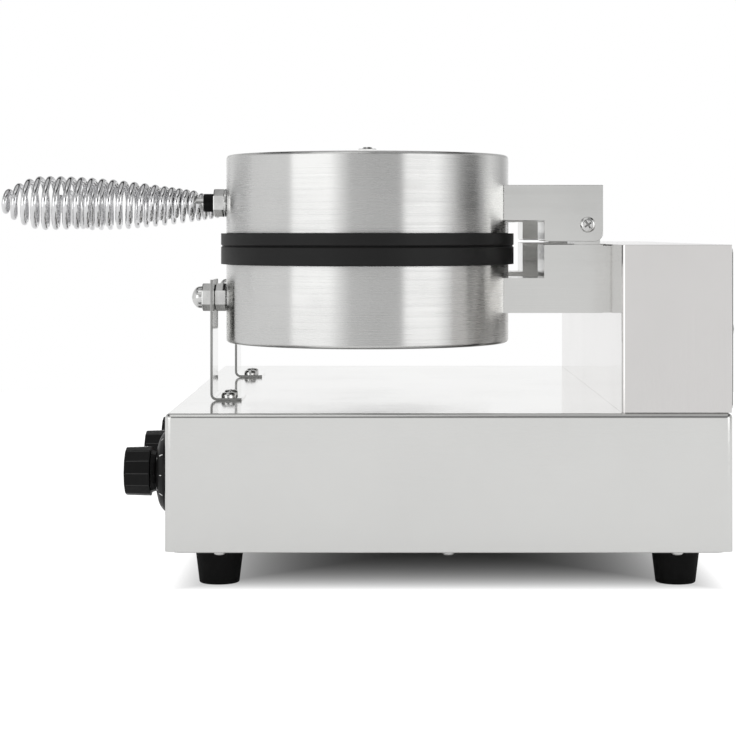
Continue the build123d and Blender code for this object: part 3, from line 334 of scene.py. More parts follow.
class Finishes:
    """Every finish of the waffle maker, by a plain name."""

    PLAN: dict[str, Finish] = {
        "case": BrushedSteel(
            "case_side_steel", (0.84, 0.84, 0.825), 0.08, Lay.ALONG_Y, 0.008, 0.015, slot="case_steel"
        ),
        "column": BrushedSteel(
            "column_steel", (0.83, 0.815, 0.805), 0.08, Lay.ALONG_Z, 0.01, 0.015, slot="case_steel"
        ),
        "bracket": BrushedSteel(
            "bracket_steel", (0.84, 0.84, 0.83), 0.06, Lay.ALONG_Z, 0.015, 0.02, slot="case_steel"
        ),
        "under": BrushedSteel("under_steel", (0.62, 0.62, 0.61), 0.4, Lay.ALONG_X, 0.05, slot="case_steel"),
        "drum": BrushedSteel(
            "drum_steel", (0.8, 0.8, 0.79), 0.24, Lay.AROUND, 0.03, 0.035, slot="drum_steel"
        ),
        "arm": BrushedSteel(
            "arm_steel", (0.78, 0.78, 0.765), 0.14, Lay.ALONG_Y, 0.035, 0.1, slot="arm_steel"
        ),
        # Dull grey steel for cut sheet edges, also painted into screw recesses as shade
        "cut edge": BrushedSteel("cut_edge_steel", (0.45, 0.45, 0.44), 0.35, Lay.NONE, 0.1),
        # Near-black steel painted on faces inside gaps, as shade
        "shaded": BrushedSteel("tarnished_steel", (0.07, 0.068, 0.065), 0.5, Lay.NONE, 0.2),
        "heater": BrushedSteel("heater_steel", (0.35, 0.33, 0.31), 0.45, Lay.NONE, 0.2),
        "chrome": BrightPlating("chrome_wire", (0.9, 0.9, 0.91), 0.02, slot="chrome_wire"),
        "bright": BrightPlating("bright_fastener", (0.8, 0.8, 0.79), 0.12, slot="bright_fastener"),
        "coating": Skin("black_coating", (0.009,) * 3, 0.42, 1500.0, 0.12, 0.3, 0.25, slot="coated_plate"),
        "plastic": Skin("black_plastic", (0.004,) * 3, 0.3, 1800.0, 0.1, 0.25, 0.2, slot="black_plastic"),
        "sleeve": Skin("sleeve_plastic", (0.003,) * 3, 0.4, 1500.0, 0.1, 0.25, 0.12, slot="black_plastic"),
        "rubber": Skin("black_rubber", (0.005,) * 3, 0.6, 900.0, 0.3, 0.3, 0.12, slot="black_rubber"),
        # Lighter plastic for the knobs' corner lines: wear and a painted highlight along the ridges
        "worn": Skin("worn_plastic", (0.05,) * 3, 0.35, 1800.0, 0.1, 0.25, 0.3),
        "fibre": Skin("insulation_fibre", (0.72, 0.69, 0.6), 0.95, 420.0, 0.9, 0.12, 0.2),
        "control": Skin("control_case", (0.06, 0.06, 0.065), 0.5, 700.0, 0.2),
        "ink": Skin("white_ink", (0.78, 0.78, 0.77), 0.5, 900.0, 0.05, 0.04, 0.3),
        "rocker": Skin(
            "rocker_red", (0.42, 0.012, 0.01), 0.22, 900.0, 0.05, 0.06, 0.5, 0.3, slot="rocker_red"
        ),
        "lens": LampLens("lamp_red", (0.72, 0.03, 0.02), 0.12, 0.35, slot="lamp_red"),
    }

    def __init__(self) -> None:
        """Builds the materials."""
        self.made = {key: finish.build() for key, finish in self.PLAN.items()}

    def __getitem__(self, key: str) -> bpy.types.Material:
        """The material of that plain name."""
        return self.made[key]


# Shapes


def soften(bm: Mesh, geom: Sequence[object], width: float, segments: int = 2, affect: str = "EDGES") -> None:
    """Rounds edges of a mesh, or its corners with VERTICES, by that width."""
    bmesh.ops.bevel(
        bm, geom=geom, offset=width * MM, offset_type="OFFSET", segments=segments, profile=0.5, affect=affect,
        material=-1, clamp_overlap=True,
    )


def lathe(corners: Sequence[Pair], rounds: Mapping[int, float] | None = None, steps: int = 48) -> Mesh:
    """Turns an outline about Z.

    Args:
        corners: Radius and height pairs of the outline.
        rounds: The corners to round, each with its radius.
        steps: How many steps go round.

    Returns:
        The closed, turned mesh.
    """
    bm = bmesh.new()
    points = [bm.verts.new((r * MM, 0.0, h * MM)) for r, h in corners]
    for pair in zip(points, points[1:]):
        bm.edges.new(pair)
    for index, radius in sorted((rounds or {}).items()):
        soften(bm, [points[index]], radius, 5, "VERTICES")
    bmesh.ops.spin(
        bm, geom=bm.verts[:] + bm.edges[:], cent=(0, 0, 0), axis=(0, 0, 1), angle=2 * math.pi, steps=steps,
        use_merge=True, use_duplicate=False,
    )
    bmesh.ops.remove_doubles(bm, verts=bm.verts, dist=1e-6)
    bmesh.ops.recalc_face_normals(bm, faces=bm.faces)
    return bm


def ring(inner: float, outer: float, height: float, rounds: Pair | None = None, steps: int = 48) -> Mesh:
    """Ring on the level 0, its outer edges rounded by the two radii at its foot and its top."""
    corners = [(inner, 0.0), (outer, 0.0), (outer, height), (inner, height), (inner, 0.0)]
    return lathe(corners, dict(enumerate(rounds or (), 1)), steps)


def prism(sides: int, radius: float, height: float, edge: float = 0.0) -> Mesh:
    """Upright prism on the level 0, with that radius over its corners and its edges softened."""
    bm = bmesh.new()
    size = radius * MM
    bmesh.ops.create_cone(bm, cap_ends=True, segments=sides, radius1=size, radius2=size, depth=height * MM)
    bmesh.ops.translate(bm, vec=(0, 0, height / 2 * MM), verts=bm.verts)
    if edge:
        soften(bm, bm.edges[:], edge)
    return bm


def bar(width: float, depth: float, height: float) -> Mesh:
    """Block about the origin, with its sizes along X, Y and Z."""
    bm = bmesh.new()
    bmesh.ops.create_cube(bm, size=MM)
    bmesh.ops.scale(bm, vec=(width, depth, height), verts=bm.verts)
    return bm


def draw_out(bm: Mesh, rim: list[bmesh.types.BMEdge], start: Pair, rings: Iterable[Pair]) -> None:
    """Draws an open rim out through further rings about Z, and closes the last.

    Args:
        bm: The mesh.
        rim: The open edges.
        start: Their height and radius.
        rings: Height and radius of each further ring.
    """
    level, width = start
    for height, radius in rings:
        grown = bmesh.ops.extrude_edge_only(bm, edges=rim)["geom"]
        verts = [v for v in grown if isinstance(v, bmesh.types.BMVert)]
        rim = [e for e in grown if isinstance(e, bmesh.types.BMEdge) and e.is_boundary]
        bmesh.ops.scale(bm, vec=(radius / width, radius / width, 1.0), verts=verts)
        bmesh.ops.translate(bm, vec=(0, 0, (height - level) * MM), verts=verts)
        level, width = height, radius
    bmesh.ops.contextual_create(bm, geom=rim)


def cross_screw(radius: float = 4.0, head: float = 2.4) -> Mesh:
    """Screw head on the level 0, with a tapered cross recess in its crown that is painted darker inside, as
    shade.
    """
    bm = bmesh.new()
    flat = 0.6 * radius
    bmesh.ops.create_circle(bm, cap_ends=True, segments=32, radius=flat * MM)
    bmesh.ops.translate(bm, vec=(0, 0, head * MM), verts=bm.verts)
    half, reach = 0.11 * radius * MM, 0.5 * radius * MM
    across, along = Vector((1, 0, 0)), Vector((0, 1, 0))
    for normal, at in ((across, half), (along, half), (across, reach), (along, reach)):
        for side in (-1, 1):
            everything = bm.verts[:] + bm.edges[:] + bm.faces[:]
            bmesh.ops.bisect_plane(bm, geom=everything, plane_co=normal * at * side, plane_no=normal)
    rim = [edge for edge in bm.edges if edge.is_boundary]
    cross = []
    for face in bm.faces:
        x, y = (abs(v) for v in face.calc_center_median()[:2])
        if (x < half and y < reach) or (y < half and x < reach):
            cross.append(face)
    sunk = bmesh.ops.extrude_face_region(bm, geom=cross)
    bmesh.ops.delete(bm, geom=cross, context="FACES_ONLY")
    floor = [v for v in sunk["geom"] if isinstance(v, bmesh.types.BMVert)]
    bmesh.ops.translate(bm, vec=(0, 0, -0.75 * head * MM), verts=floor)
    bmesh.ops.scale(bm, vec=(0.8, 0.8, 1.0), verts=floor)
    # The recess's faces take the darker dull finish: painted shade inside the recess
    for face in {face for vert in floor for face in vert.link_faces}:
        face.material_index = Bench.CUT
    crown = ((0.76, 0.07), (0.9, 0.24), (0.98, 0.5), (1.0, 0.74), (1.0, 1.0))
    draw_out(bm, rim, (head, flat), [(head * (1 - drop), share * radius) for share, drop in crown])
    bmesh.ops.recalc_face_normals(bm, faces=bm.faces)
    return bm


def hex_nut(flats: float = 17.0, thickness: float = 8.0) -> Mesh:
    """Hexagon nut on the level 0, with a corner along Y and its corners cut back at both ends."""
    bm = prism(6, flats / math.sqrt(3), thickness)
    for end in (0.0, thickness):
        middle = Vector((0, 0, end * MM))
        face = min(bm.faces, key=lambda f: (f.calc_center_median() - middle).length)
        soften(bm, face.edges[:], 0.055 * flats)
    return bm


def threaded(radius: float, length: float, pitch: float = 1.25, depth: float = 0.35) -> Mesh:
    """Rod on the level 0 with ridges like a thread's and a cut-back end."""
    corners = [(0.0, 0.0), (radius - depth, 0.0)]
    for number in range(max(1, int((length - 1.0) / pitch))):
        corners += [(radius, (number + 0.5) * pitch), (radius - depth, (number + 1.0) * pitch)]
    corners += [(radius - 0.9, length), (0.0, length)]
    return lathe(corners, None, 32)


def meshed(curve: bpy.types.Curve) -> Mesh:
    """Mesh of a curve or a text."""
    holder = bpy.data.objects.new(curve.name, curve)
    bpy.context.scene.collection.objects.link(holder)
    bpy.context.view_layer.update()
    mesh = bpy.data.meshes.new_from_object(holder)
    bpy.data.objects.remove(holder)
    bm = bmesh.new()
    bm.from_mesh(mesh)
    bpy.data.meshes.remove(mesh)
    return bm


def joined(parts: Iterable[Mesh]) -> Mesh:
    """Puts several meshes into one, and frees them."""
    whole = bmesh.new()
    for part in parts:
        held = bpy.data.meshes.new("held")
        part.to_mesh(held)
        part.free()
        whole.from_mesh(held)
        bpy.data.meshes.remove(held)
    return whole


def placed(bm: Mesh, matrix: Matrix) -> Mesh:
    """Moves and turns a mesh, and hands it back."""
    bmesh.ops.transform(bm, matrix=matrix, verts=bm.verts)
    return bm


def turned(axis: str, degrees: float) -> Matrix:
    """Turn about an axis."""
    return Matrix.Rotation(math.radians(degrees), 4, axis)


def moved(x: float, y: float, z: float) -> Matrix:
    """Move by three lengths."""
    return Matrix.Translation((x * MM, y * MM, z * MM))


def facing(direction: str, x: float, y: float, z: float) -> Matrix:
    """Place of a shape made about Z, turned so that its top looks along +X, -X, +Y, -Y, +Z or -Z."""
    axis, degrees = {
        "+X": ("Y", 90), "-X": ("Y", -90), "+Y": ("X", -90), "-Y": ("X", 90), "+Z": ("X", 0), "-Z": ("X", 180)
    }[direction]
    return moved(x, y, z) @ turned(axis, degrees)


def wrap(bm: Mesh, x: float, y: float) -> None:
    """Gives a turned mesh a map that runs round its upright axis, at x and y in metres, and along it."""
    layer = bm.loops.layers.uv.new("wrap")
    for face in bm.faces:
        middle = face.calc_center_median()
        base = math.atan2(middle.y - y, middle.x - x)
        flat = abs(face.normal.z) > 0.7
        for loop in face.loops:
            co = loop.vert.co
            radius = math.hypot(co.x - x, co.y - y)
            angle = math.atan2(co.y - y, co.x - x) if radius > 1e-6 else base
            angle = base + (angle - base + math.pi) % (2 * math.pi) - math.pi
            loop[layer].uv = (angle * 0.1, radius if flat else co.z)


@dataclass
class Bench:
    """Finishes meshes as pieces of the model and lays them on the frame."""

    CUT = 1  # material index of dull cut faces, and of screw recesses painted darker as shade
    SHADED = 2  # material index of faces painted dark as shade in gaps

    finishes: Finishes

    def piece(
        self, bm: Mesh, name: str, finish: str, body: str, *replaced: str, sharp: float = 32.0,
        edge: float = 0.0,
    ) -> None:
        """Turns a mesh into a piece that rides on a body.

        Args:
            bm: The mesh, in its place, which is freed.
            name: The piece's name.
            finish: Plain name of its finish.
            body: The body that it moves with.
            *replaced: The nodes that it stands for.
            sharp: Angle in degrees above which an edge stays sharp.
            edge: Width of the softened edges, or 0 for none.
        """
        mesh = bpy.data.meshes.new(name)
        bm.to_mesh(mesh)
        bm.free()
        mesh.shade_smooth()
        mesh.set_sharp_from_angle(angle=math.radians(sharp))
        mesh.materials.append(self.finishes[finish])
        if any(polygon.material_index for polygon in mesh.polygons):
            for key in ("cut edge", "shaded"):
                mesh.materials.append(self.finishes[key])
        made = bpy.data.objects.new(name, mesh)
        bpy.context.scene.collection.objects.link(made)
        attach(made, body)
        if replaced:
            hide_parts(*replaced)
        if edge:
            soft = made.modifiers.new("soft edges", "BEVEL")
            soft.width = edge * MM
            soft.segments = 2
            soft.limit_method = "ANGLE"
            soft.angle_limit = math.radians(40)
            soft.harden_normals = True
        made.modifiers.new("even shading", "WEIGHTED_NORMAL").keep_sharp = True
        LOG.info("%s: %d faces, %s, on %s", name, len(mesh.polygons), finish, body)

    def dress(self, node: str, finish: str) -> None:
        """Gives a frame node one of the finishes."""
        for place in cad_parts[node].material_slots:
            place.material = self.finishes[finish]
        LOG.info("%s: %s", node, finish)

    def reworked(
        self, node: str, finish: str, body: str, edge: float = 0.25, sharp: float = 28.0, cut: str = "",
        shaded: Pair = (0.0, 0.0),
    ) -> None:
        """Stands a merged and smoothed copy with softened edges in for a frame node.

        Args:
            node: The node's name.
            finish: Plain name of the finish.
            body: The body that it moves with.
            edge: Width of the softened edges, or 0 for none.
            sharp: Angle in degrees above which an edge stays sharp.
            cut: The axes along which its dull cut edges look, such as X or XZ.
            shaded: The levels between which its level faces are painted dark, as shade in a gap.
        """
        bm = bmesh.new()
        bm.from_mesh(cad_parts[node].data)
        bmesh.ops.remove_doubles(bm, verts=bm.verts, dist=2e-6)
        bmesh.ops.dissolve_limit(bm, angle_limit=math.radians(0.4), verts=bm.verts, edges=bm.edges)
        for face in bm.faces:
            if any(abs(face.normal["XYZ".index(axis)]) > 0.9 for axis in cut):
                face.material_index = self.CUT
            # Level faces between the shaded levels are painted dark: painted shade in the gap
            if shaded[0] < face.calc_center_median().z / MM < shaded[1] and abs(face.normal.z) > 0.9:
                face.material_index = self.SHADED
        self.piece(bm, f"{node}_skin", finish, body, node, sharp=sharp, edge=edge)


# Sub-assemblies


@dataclass
class BaseCase:
    """Folded case with its bottom plate, feet, screws and cord gland."""

    bench: Bench
    foot_top: float = 16.0
    foot_bottom: float = 13.25
    foot_height: float = 23.8
    foot_places: tuple[Pair, ...] = ((-205, -94.5), (-205, 209.5), (205, -94.5), (205, 209.5))
    screw_places: tuple[Pair, ...] = tuple((x, y) for x in (-228, 228) for y in (-92.5, 57.5, 207.5))
    bore: float = 4.5
    gland_nut: Pair = (12.7, 6.0)

    def build(self) -> None:
        """Makes and dresses every piece of the base."""
        self.bench.reworked("base_shell", "case", "base", edge=0.2)
        self.bench.reworked("bottom_plate", "under", "base", edge=0.15)
        self.feet()
        screws = (placed(cross_screw(), facing("-Z", x, y, self.foot_height)) for x, y in self.screw_places)
        self.bench.piece(joined(screws), "bottom_screws", "bright", "base", "bottom_plate_screws")
        self.gland()
        self.bench.dress("terminal_block", "control")

    def feet(self) -> None:
        """Moulded feet with a rounded sole and a rolled shoulder."""
        top, low, height = self.foot_top, self.foot_bottom, self.foot_height
        corners = [
            (0.0, 0.8), (low - 3.0, 0.8), (low - 2.2, 0.0), (low, 0.0), (top, height - 1.2), (top, height),
            (0.0, height),
        ]
        feet = (placed(lathe(corners, {4: 0.8, 3: 0.9}), moved(x, y, 0)) for x, y in self.foot_places)
        self.bench.piece(joined(feet), "moulded_feet", "rubber", "base", "feet")

    def gland(self) -> None:
        """Cord gland: a hexagon, a ribbed cap and its open bore."""
        low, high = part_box("cord_gland")
        level = (low.z + high.z) / 2 / MM
        radius, depth = self.gland_nut
        corners = [
            (self.bore, 0.0), (10.6, 0.0), (10.6, 3.5), (7.4, 8.0), (self.bore, 8.0), (self.bore, -17.0)
        ]
        cap = placed(lathe(corners, {2: 1.0, 3: 1.2}), facing("+Y", 0.0, BACK + depth, level))
        nut = placed(prism(6, radius, depth, 0.4), facing("+Y", 0.0, BACK, level) @ turned("Z", 30))
        self.bench.piece(joined([cap, nut]), "gland_cap", "plastic", "base", "cord_gland")


@dataclass
class RearColumn:
    """Folded housing at the back with its cover."""

    bench: Bench
    screw_places: tuple[Pair, ...] = ((-218, 169), (218, 169))
    cover_face: float = 243.7

    def build(self) -> None:
        """Makes and dresses every piece of the column."""
        self.bench.reworked("rear_housing", "column", "base", edge=0.2)
        self.bench.reworked("rear_cover", "case", "base", cut="XZ")
        screws = (placed(cross_screw(), facing("+Y", x, self.cover_face, z)) for x, z in self.screw_places)
        self.bench.piece(joined(screws), "cover_screws", "bright", "base", "rear_cover_screws")


@dataclass
class HeadPart:
    """What the groups of pieces of one head share."""

    bench: Bench
    side: str

    @property
    def x(self) -> float:
        """Where the head stands."""
        return HEADS[self.side]

    @property
    def lid(self) -> str:
        """The head's moving body."""
        return f"{self.side}_lid"

    def on_lid(self, bm: Mesh, name: str, finish: str, node: str, sharp: float = 32.0) -> None:
        """Turns a mesh into a piece of the lid. Name and node are without the side."""
        self.bench.piece(bm, f"{self.side}_{name}", finish, self.lid, f"{self.side}_{node}", sharp=sharp)


@dataclass
class Drum(HeadPart):
    """One stainless cup of a head, with its plate, element and insulation."""

    level: str
    radius: float = 100.0
    corner: float = 2.5

    def build(self) -> None:
        """Makes and dresses the cup and what it holds."""
        upper = self.level == "upper"
        body = self.lid if upper else "base"
        name = f"{self.side}_{self.level}"
        low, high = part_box(f"{name}_drum")
        x, y = (low.x + high.x) / 2, (low.y + high.y) / 2
        height = (high.z - low.z) / MM
        corners = [
            (0.0, 0.0), (self.radius - 9.0, 0.0), (self.radius, 0.0), (self.radius, height - 0.4),
            (self.radius - 0.4, height), (self.radius - SHEET, height), (self.radius - SHEET, SHEET),
            (0.0, SHEET),
        ]
        direction, bottom = ("-Z", high.z) if upper else ("+Z", low.z)
        place = facing(direction, x / MM, y / MM, bottom / MM)
        cup = placed(lathe(corners, {2: self.corner}, 256), place)
        wrap(cup, x, y)
        self.bench.piece(cup, f"{name}_cup", "drum", body, f"{name}_drum", sharp=50.0)
        self.bench.reworked(f"{name}_plate", "coating", body, edge=0.3, sharp=25.0)
        if upper:
            self.bench.dress(f"{name}_element", "heater")
            self.bench.dress(f"{name}_insulation", "fibre")


@dataclass
class CoilHandle(HeadPart):
    """Barrel-wound wire handle with its stud, nut, washer and sleeve."""

    wire: float = 4.5
    length: float = 137.15
    first_ring: float = -253.5
    height: float = 253.8
    tip_radius: float = 6.75
    barrel_radius: float = 17.25
    root_radius: float = 6.25
    rise: float = 27.75
    turns: int = 20
    tight_turns: int = 5
    tight_pitch: float = 5.1
    washer: float = 1.2
    sleeve: float = 9.2
    points_per_turn: int = 28
    closing_turns: float = 0.8
    closing_radius: float = 3.1
    closing_draw: float = 0.65

    def along(self, turn: float) -> float:
        """Way along the handle from its first ring to so many turns from the tip."""
        open_turns = self.turns - self.tight_turns
        open_pitch = (self.length - self.tight_turns * self.tight_pitch) / open_turns
        past = turn - open_turns + 0.5
        slowed = 0.0 if past < 0 else past**2 / 2 if past < 1 else past - 0.5
        return open_pitch * turn - (open_pitch - self.tight_pitch) * slowed

    def radius(self, turn: float) -> float:
        """Radius of the wire's middle, so many turns from the tip."""
        past = self.along(turn) - self.rise
        if past < 0:
            share, end = 1 + past / self.rise, self.tip_radius
        else:
            share, end = 1 - past / (self.length - self.rise), self.root_radius
        return end + (self.barrel_radius - end) * math.sin(math.pi / 2 * share)

    def coil(self) -> Mesh:
        """Winds the wire as one smooth tube in its place, closed to a small spiral at the tip."""
        curve = bpy.data.curves.new("winding", "CURVE")
        curve.dimensions = "3D"
        curve.bevel_depth = self.wire / 2 * MM
        curve.bevel_resolution = 5
        curve.resolution_u = 2
        curve.use_fill_caps = True
        spline = curve.splines.new("NURBS")
        spline.points.add(round((self.turns + self.closing_turns) * self.points_per_turn))
        for index, point in enumerate(spline.points):
            turn = index / self.points_per_turn - self.closing_turns
            angle = 2 * math.pi * turn
            inward = max(0.0, -turn / self.closing_turns)
            radius = self.radius(max(turn, 0.0)) - (self.tip_radius - self.closing_radius) * inward
            y = self.first_ring + self.along(max(turn, 0.0)) - self.closing_draw * inward
            x, z = self.x + radius * math.cos(angle), self.height + radius * math.sin(angle)
            point.co = (x * MM, y * MM, z * MM, 1.0)
        spline.order_u = 4
        spline.use_endpoint_u = True
        bm = meshed(curve)
        bmesh.ops.remove_doubles(bm, verts=bm.verts, dist=1e-7)
        bmesh.ops.recalc_face_normals(bm, faces=bm.faces)
        return bm

    def build(self) -> None:
        """Makes and dresses the handle."""
        self.on_lid(self.coil(), "coil", "chrome", "handle_coil", sharp=60.0)
        at_drum = facing("-Y", self.x, NUT_FACE, self.height)
        washer = placed(ring(5.05, 10.0, self.washer, (0.2, 0.3)), at_drum)
        nut = placed(hex_nut(), at_drum @ moved(0, 0, self.washer))
        self.on_lid(joined([washer, nut]), "nut", "bright", "handle_nut")
        sleeve = placed(ring(4.95, 6.4, 7.0, (0.6, 0.6)), at_drum @ moved(0, 0, self.sleeve))
        self.on_lid(sleeve, "collar", "sleeve", "handle_sleeve")
        self.bench.dress(f"{self.side}_handle_stud", "bright")


@dataclass
class LidTop(HeadPart):
    """Nut and bolt end on top of a lid."""

    top: float = 287.2
    depth: float = 3.2

    def build(self) -> None:
        """Makes and dresses the fixing."""
        upward = facing("+Z", self.x, self.depth, self.top)
        nut = placed(hex_nut(13.0, 5.0), upward @ turned("Z", 90))
        bolt = placed(threaded(4.0, 6.2), upward)
        head = placed(prism(24, 6.5, 4.0, 0.3), facing("-Z", self.x, self.depth, self.top - SHEET))
        self.on_lid(joined([nut, bolt, head]), "lid_nut", "bright", "top_fixing")


@dataclass
class FrontSupport:
    """Bent bracket in front of each lower drum, with its bolt, nuts and foot screws."""

    bench: Bench
    height: float = 186.8
    sheet_front: float = -106.65
    screw_depth: float = -94.65
    screw_level: float = 116.8
    screw_spread: float = 24.0

    def cap_nut(self) -> Mesh:
        """Hexagon nut with a domed cap, on the level 0."""
        dome = lathe([(0.0, 15.0), (5.2, 13.9), (7.6, 10.6), (7.9, 7.0), (0.0, 7.0)], {1: 3.0, 2: 2.6})
        return joined([hex_nut(17.0, 7.5), dome])

    def build(self) -> None:
        """Makes and dresses both supports."""
        caps, locks, screws = [], [], []
        for side, x in HEADS.items():
            self.bench.reworked(f"{side}_support_bracket", "bracket", "base", cut="X")
            caps.append(placed(self.cap_nut(), facing("-Y", x, self.sheet_front, self.height)))
            locks.append(placed(hex_nut(), facing("-Y", x, NUT_FACE, self.height)))
            for way in (-1, 1):
                place = facing("+Z", x + way * self.screw_spread / 2, self.screw_depth, self.screw_level)
                screws.append(placed(cross_screw(5.0, 3.4), place @ Matrix.Rotation(0.5 + way * 0.3, 4, "Z")))
        for parts, name, node in (
            (caps, "domed_nuts", "cap_nuts"), (locks, "back_nuts", "lock_nuts"),
            (screws, "bracket_foot_screws", "bracket_screws"),
        ):
            self.bench.piece(joined(parts), name, "bright", "base", node)
        self.bench.dress("support_bolts", "bright")
        self.bench.dress("lower_elements", "heater")
        self.bench.dress("lower_insulation", "fibre")


@dataclass
class Hinge(HeadPart):
    """Upper and lower arm of a head, with the pin and its screws."""

    pivot: Pair = (156.8, 238.2)
    half_width: float = 31.0
    # Levels of the gap between the arms' blocks, whose level faces are painted dark as shade
    gap: Pair = (223.0, 228.0)

    def build(self) -> None:
        """Makes and dresses the hinge."""
        for arm, body in (("lower_arm", "base"), ("upper_arm", self.lid)):
            self.bench.reworked(f"{self.side}_{arm}", "arm", body, edge=0.3, shaded=self.gap)
        self.bench.dress(f"{self.side}_hinge_pin", "bright")
        parts = []
        for direction, out, turn in (("+X", self.half_width, 0.6), ("-X", -self.half_width, 0.2)):
            place = facing(direction, self.x + out, *self.pivot)
            parts.append(placed(cross_screw(5.5, 2.5), place @ Matrix.Rotation(turn, 4, "Z")))
        self.on_lid(joined(parts), "pin_screws", "bright", "hinge_screws")


class Scale(Enum):
    """The two kinds of control: its figures, and the degrees that its scale sweeps."""

    THERMOSTAT = (("0", "50", "100", "150", "200", "250", "300"), 270.0)
    TIMER = (("0", "1", "2", "3", "4", "5"), 300.0)


@dataclass
class Control:
    """Dial with its marks, and the knob in front of it."""

    bench: Bench
    name: str
    kind: Scale
    x: float
    level: float = 70.0
    knob_back: float = -140.1
    sides: int = 12
    face: float = 20.7
    face_radius: float = 16.4
    lean: float = 1.7  # of the grip's sides, in degrees

    @property
    def at_panel(self) -> Matrix:
        """Place on the panel's face, looking forwards."""
        return facing("-Y", self.x, FRONT, self.level)

    @property
    def at_knob(self) -> Matrix:
        """Place of the knob's back, looking forwards."""
        return facing("-Y", self.x, self.knob_back, self.level)

    def dial(self) -> Mesh:
        """Domed plate round the spindle, in its place."""
        corners = [(5.05, 0), (28.5, 0), (28.5, 5), (24, 9.5), (15, 12), (5.05, 12), (5.05, 0)]
        return placed(lathe(corners, {4: 3.0, 3: 2.4, 2: 1.6}, 96), self.at_panel)

    def on_dial(self, bm: Mesh, angle: float, radius: float, height: float, slope: float) -> Mesh:
        """Lays a mark on the dial's slope, with its foot towards the middle.

        Args:
            bm: The mark, flat about the origin.
            angle: Degrees from straight up, clockwise as seen from the front.
            radius: Distance from the middle.
            height: How far the surface stands in front of the panel.
            slope: How steeply it falls outwards, in degrees.

        Returns:
            The mark, in its place.
        """
        spoke = self.at_panel @ turned("Z", -angle)
        return placed(bm, spoke @ moved(0, radius, height) @ turned("X", -slope))

    def figure(self, text: str, size: float = 3.6) -> Mesh:
        """Number of that height as a thin flat mesh about the origin."""
        letters = bpy.data.curves.new("figure", "FONT")
        letters.body = text
        letters.size = size * MM
        letters.align_x = letters.align_y = "CENTER"
        letters.extrude = 0.05 * MM
        return meshed(letters)

    def marks(self) -> Mesh:
        """Ticks and figures round the dial, in their place."""
        figures, sweep = self.kind.value
        parts = []
        ticks = 2 * (len(figures) - 1)
        for number in range(ticks + 1):
            size = (0.45, 2.0) if number % 2 else (0.7, 3.2)
            parts.append(self.on_dial(bar(*size, 0.1), number * sweep / ticks, 26.3, 7.28, 45.0))
        for number, text in enumerate(figures):
            angle = number * sweep / (len(figures) - 1)
            parts.append(self.on_dial(self.figure(text), angle, 20.6, 10.52, 15.5))
        return joined(parts)

    def knob(self) -> Mesh:
        """Grip with rounded ridges, a dished face and a waist, on its spindle, in its place."""
        bm = bmesh.new()
        bmesh.ops.create_circle(bm, cap_ends=True, segments=self.sides, radius=self.face_radius * MM)
        bmesh.ops.translate(bm, vec=(0, 0, self.face * MM), verts=bm.verts)
        draw_out(bm, bm.edges[:], (self.face, self.face_radius), ((3.5, 16.9), (3.0, 14.4), (0.0, 13.5)))
        soften(bm, [e for e in bm.edges if abs(e.verts[0].co.z - e.verts[1].co.z) > 10 * MM], 1.1, 3)
        front = max(bm.faces, key=lambda f: f.calc_center_median().z)
        soften(bm, front.edges[:], 0.8, 3)
        front = max(bm.faces, key=lambda f: (f.calc_area() if f.normal.z > 0.9 else 0.0))
        bmesh.ops.inset_region(bm, faces=[front], thickness=2.2 * MM, depth=0.0)
        bmesh.ops.inset_region(bm, faces=[front], thickness=0.7 * MM, depth=-0.7 * MM)
        bmesh.ops.recalc_face_normals(bm, faces=bm.faces)
        spindle = lathe([(0.0, -33.9), (3.0, -33.9), (3.0, 0.5), (0.0, 0.5)], None, 24)
        return placed(joined([bm, spindle]), self.at_knob)

    def ridges(self) -> Mesh:
        """Lighter lines along the grip's corners, for wear and a painted highlight along the ridges, in their
        place.
        """
        parts = []
        for number in range(self.sides):
            corner = turned("Z", 360 / self.sides * number) @ moved(0, 16.13, 11.6)
            line = placed(prism(10, 0.42, 15.4), moved(0, 0, -15.4 / 2))
            parts.append(placed(line, self.at_knob @ corner @ turned("X", self.lean)))
        return joined(parts)

    def pointer(self) -> Mesh:
        """White line on the knob's face and down its side, in its place."""
        face = placed(bar(1.1, 9.0, 0.12), self.at_knob @ moved(0, 8.2, 20.04))
        side = placed(bar(1.2, 0.12, 12.0), self.at_knob @ moved(0, 16.5, 11.8) @ turned("X", self.lean))
        return joined([face, side])

    def build(self) -> Mesh:
        """Makes and dresses the knob and the marks, and hands the dial's mesh to the panel."""
        body = self.name
        self.bench.piece(self.knob(), f"{body}_grip", "plastic", body, f"{body}_knob", sharp=26.0)
        # The corner lines are painted lighter: wear and a painted highlight along the ridges
        self.bench.piece(self.ridges(), f"{body}_ridges", "worn", body)
        self.bench.piece(self.pointer(), f"{body}_pointer", "ink", body)
        self.bench.piece(self.marks(), f"{body}_marks", "ink", "base")
        return self.dial()


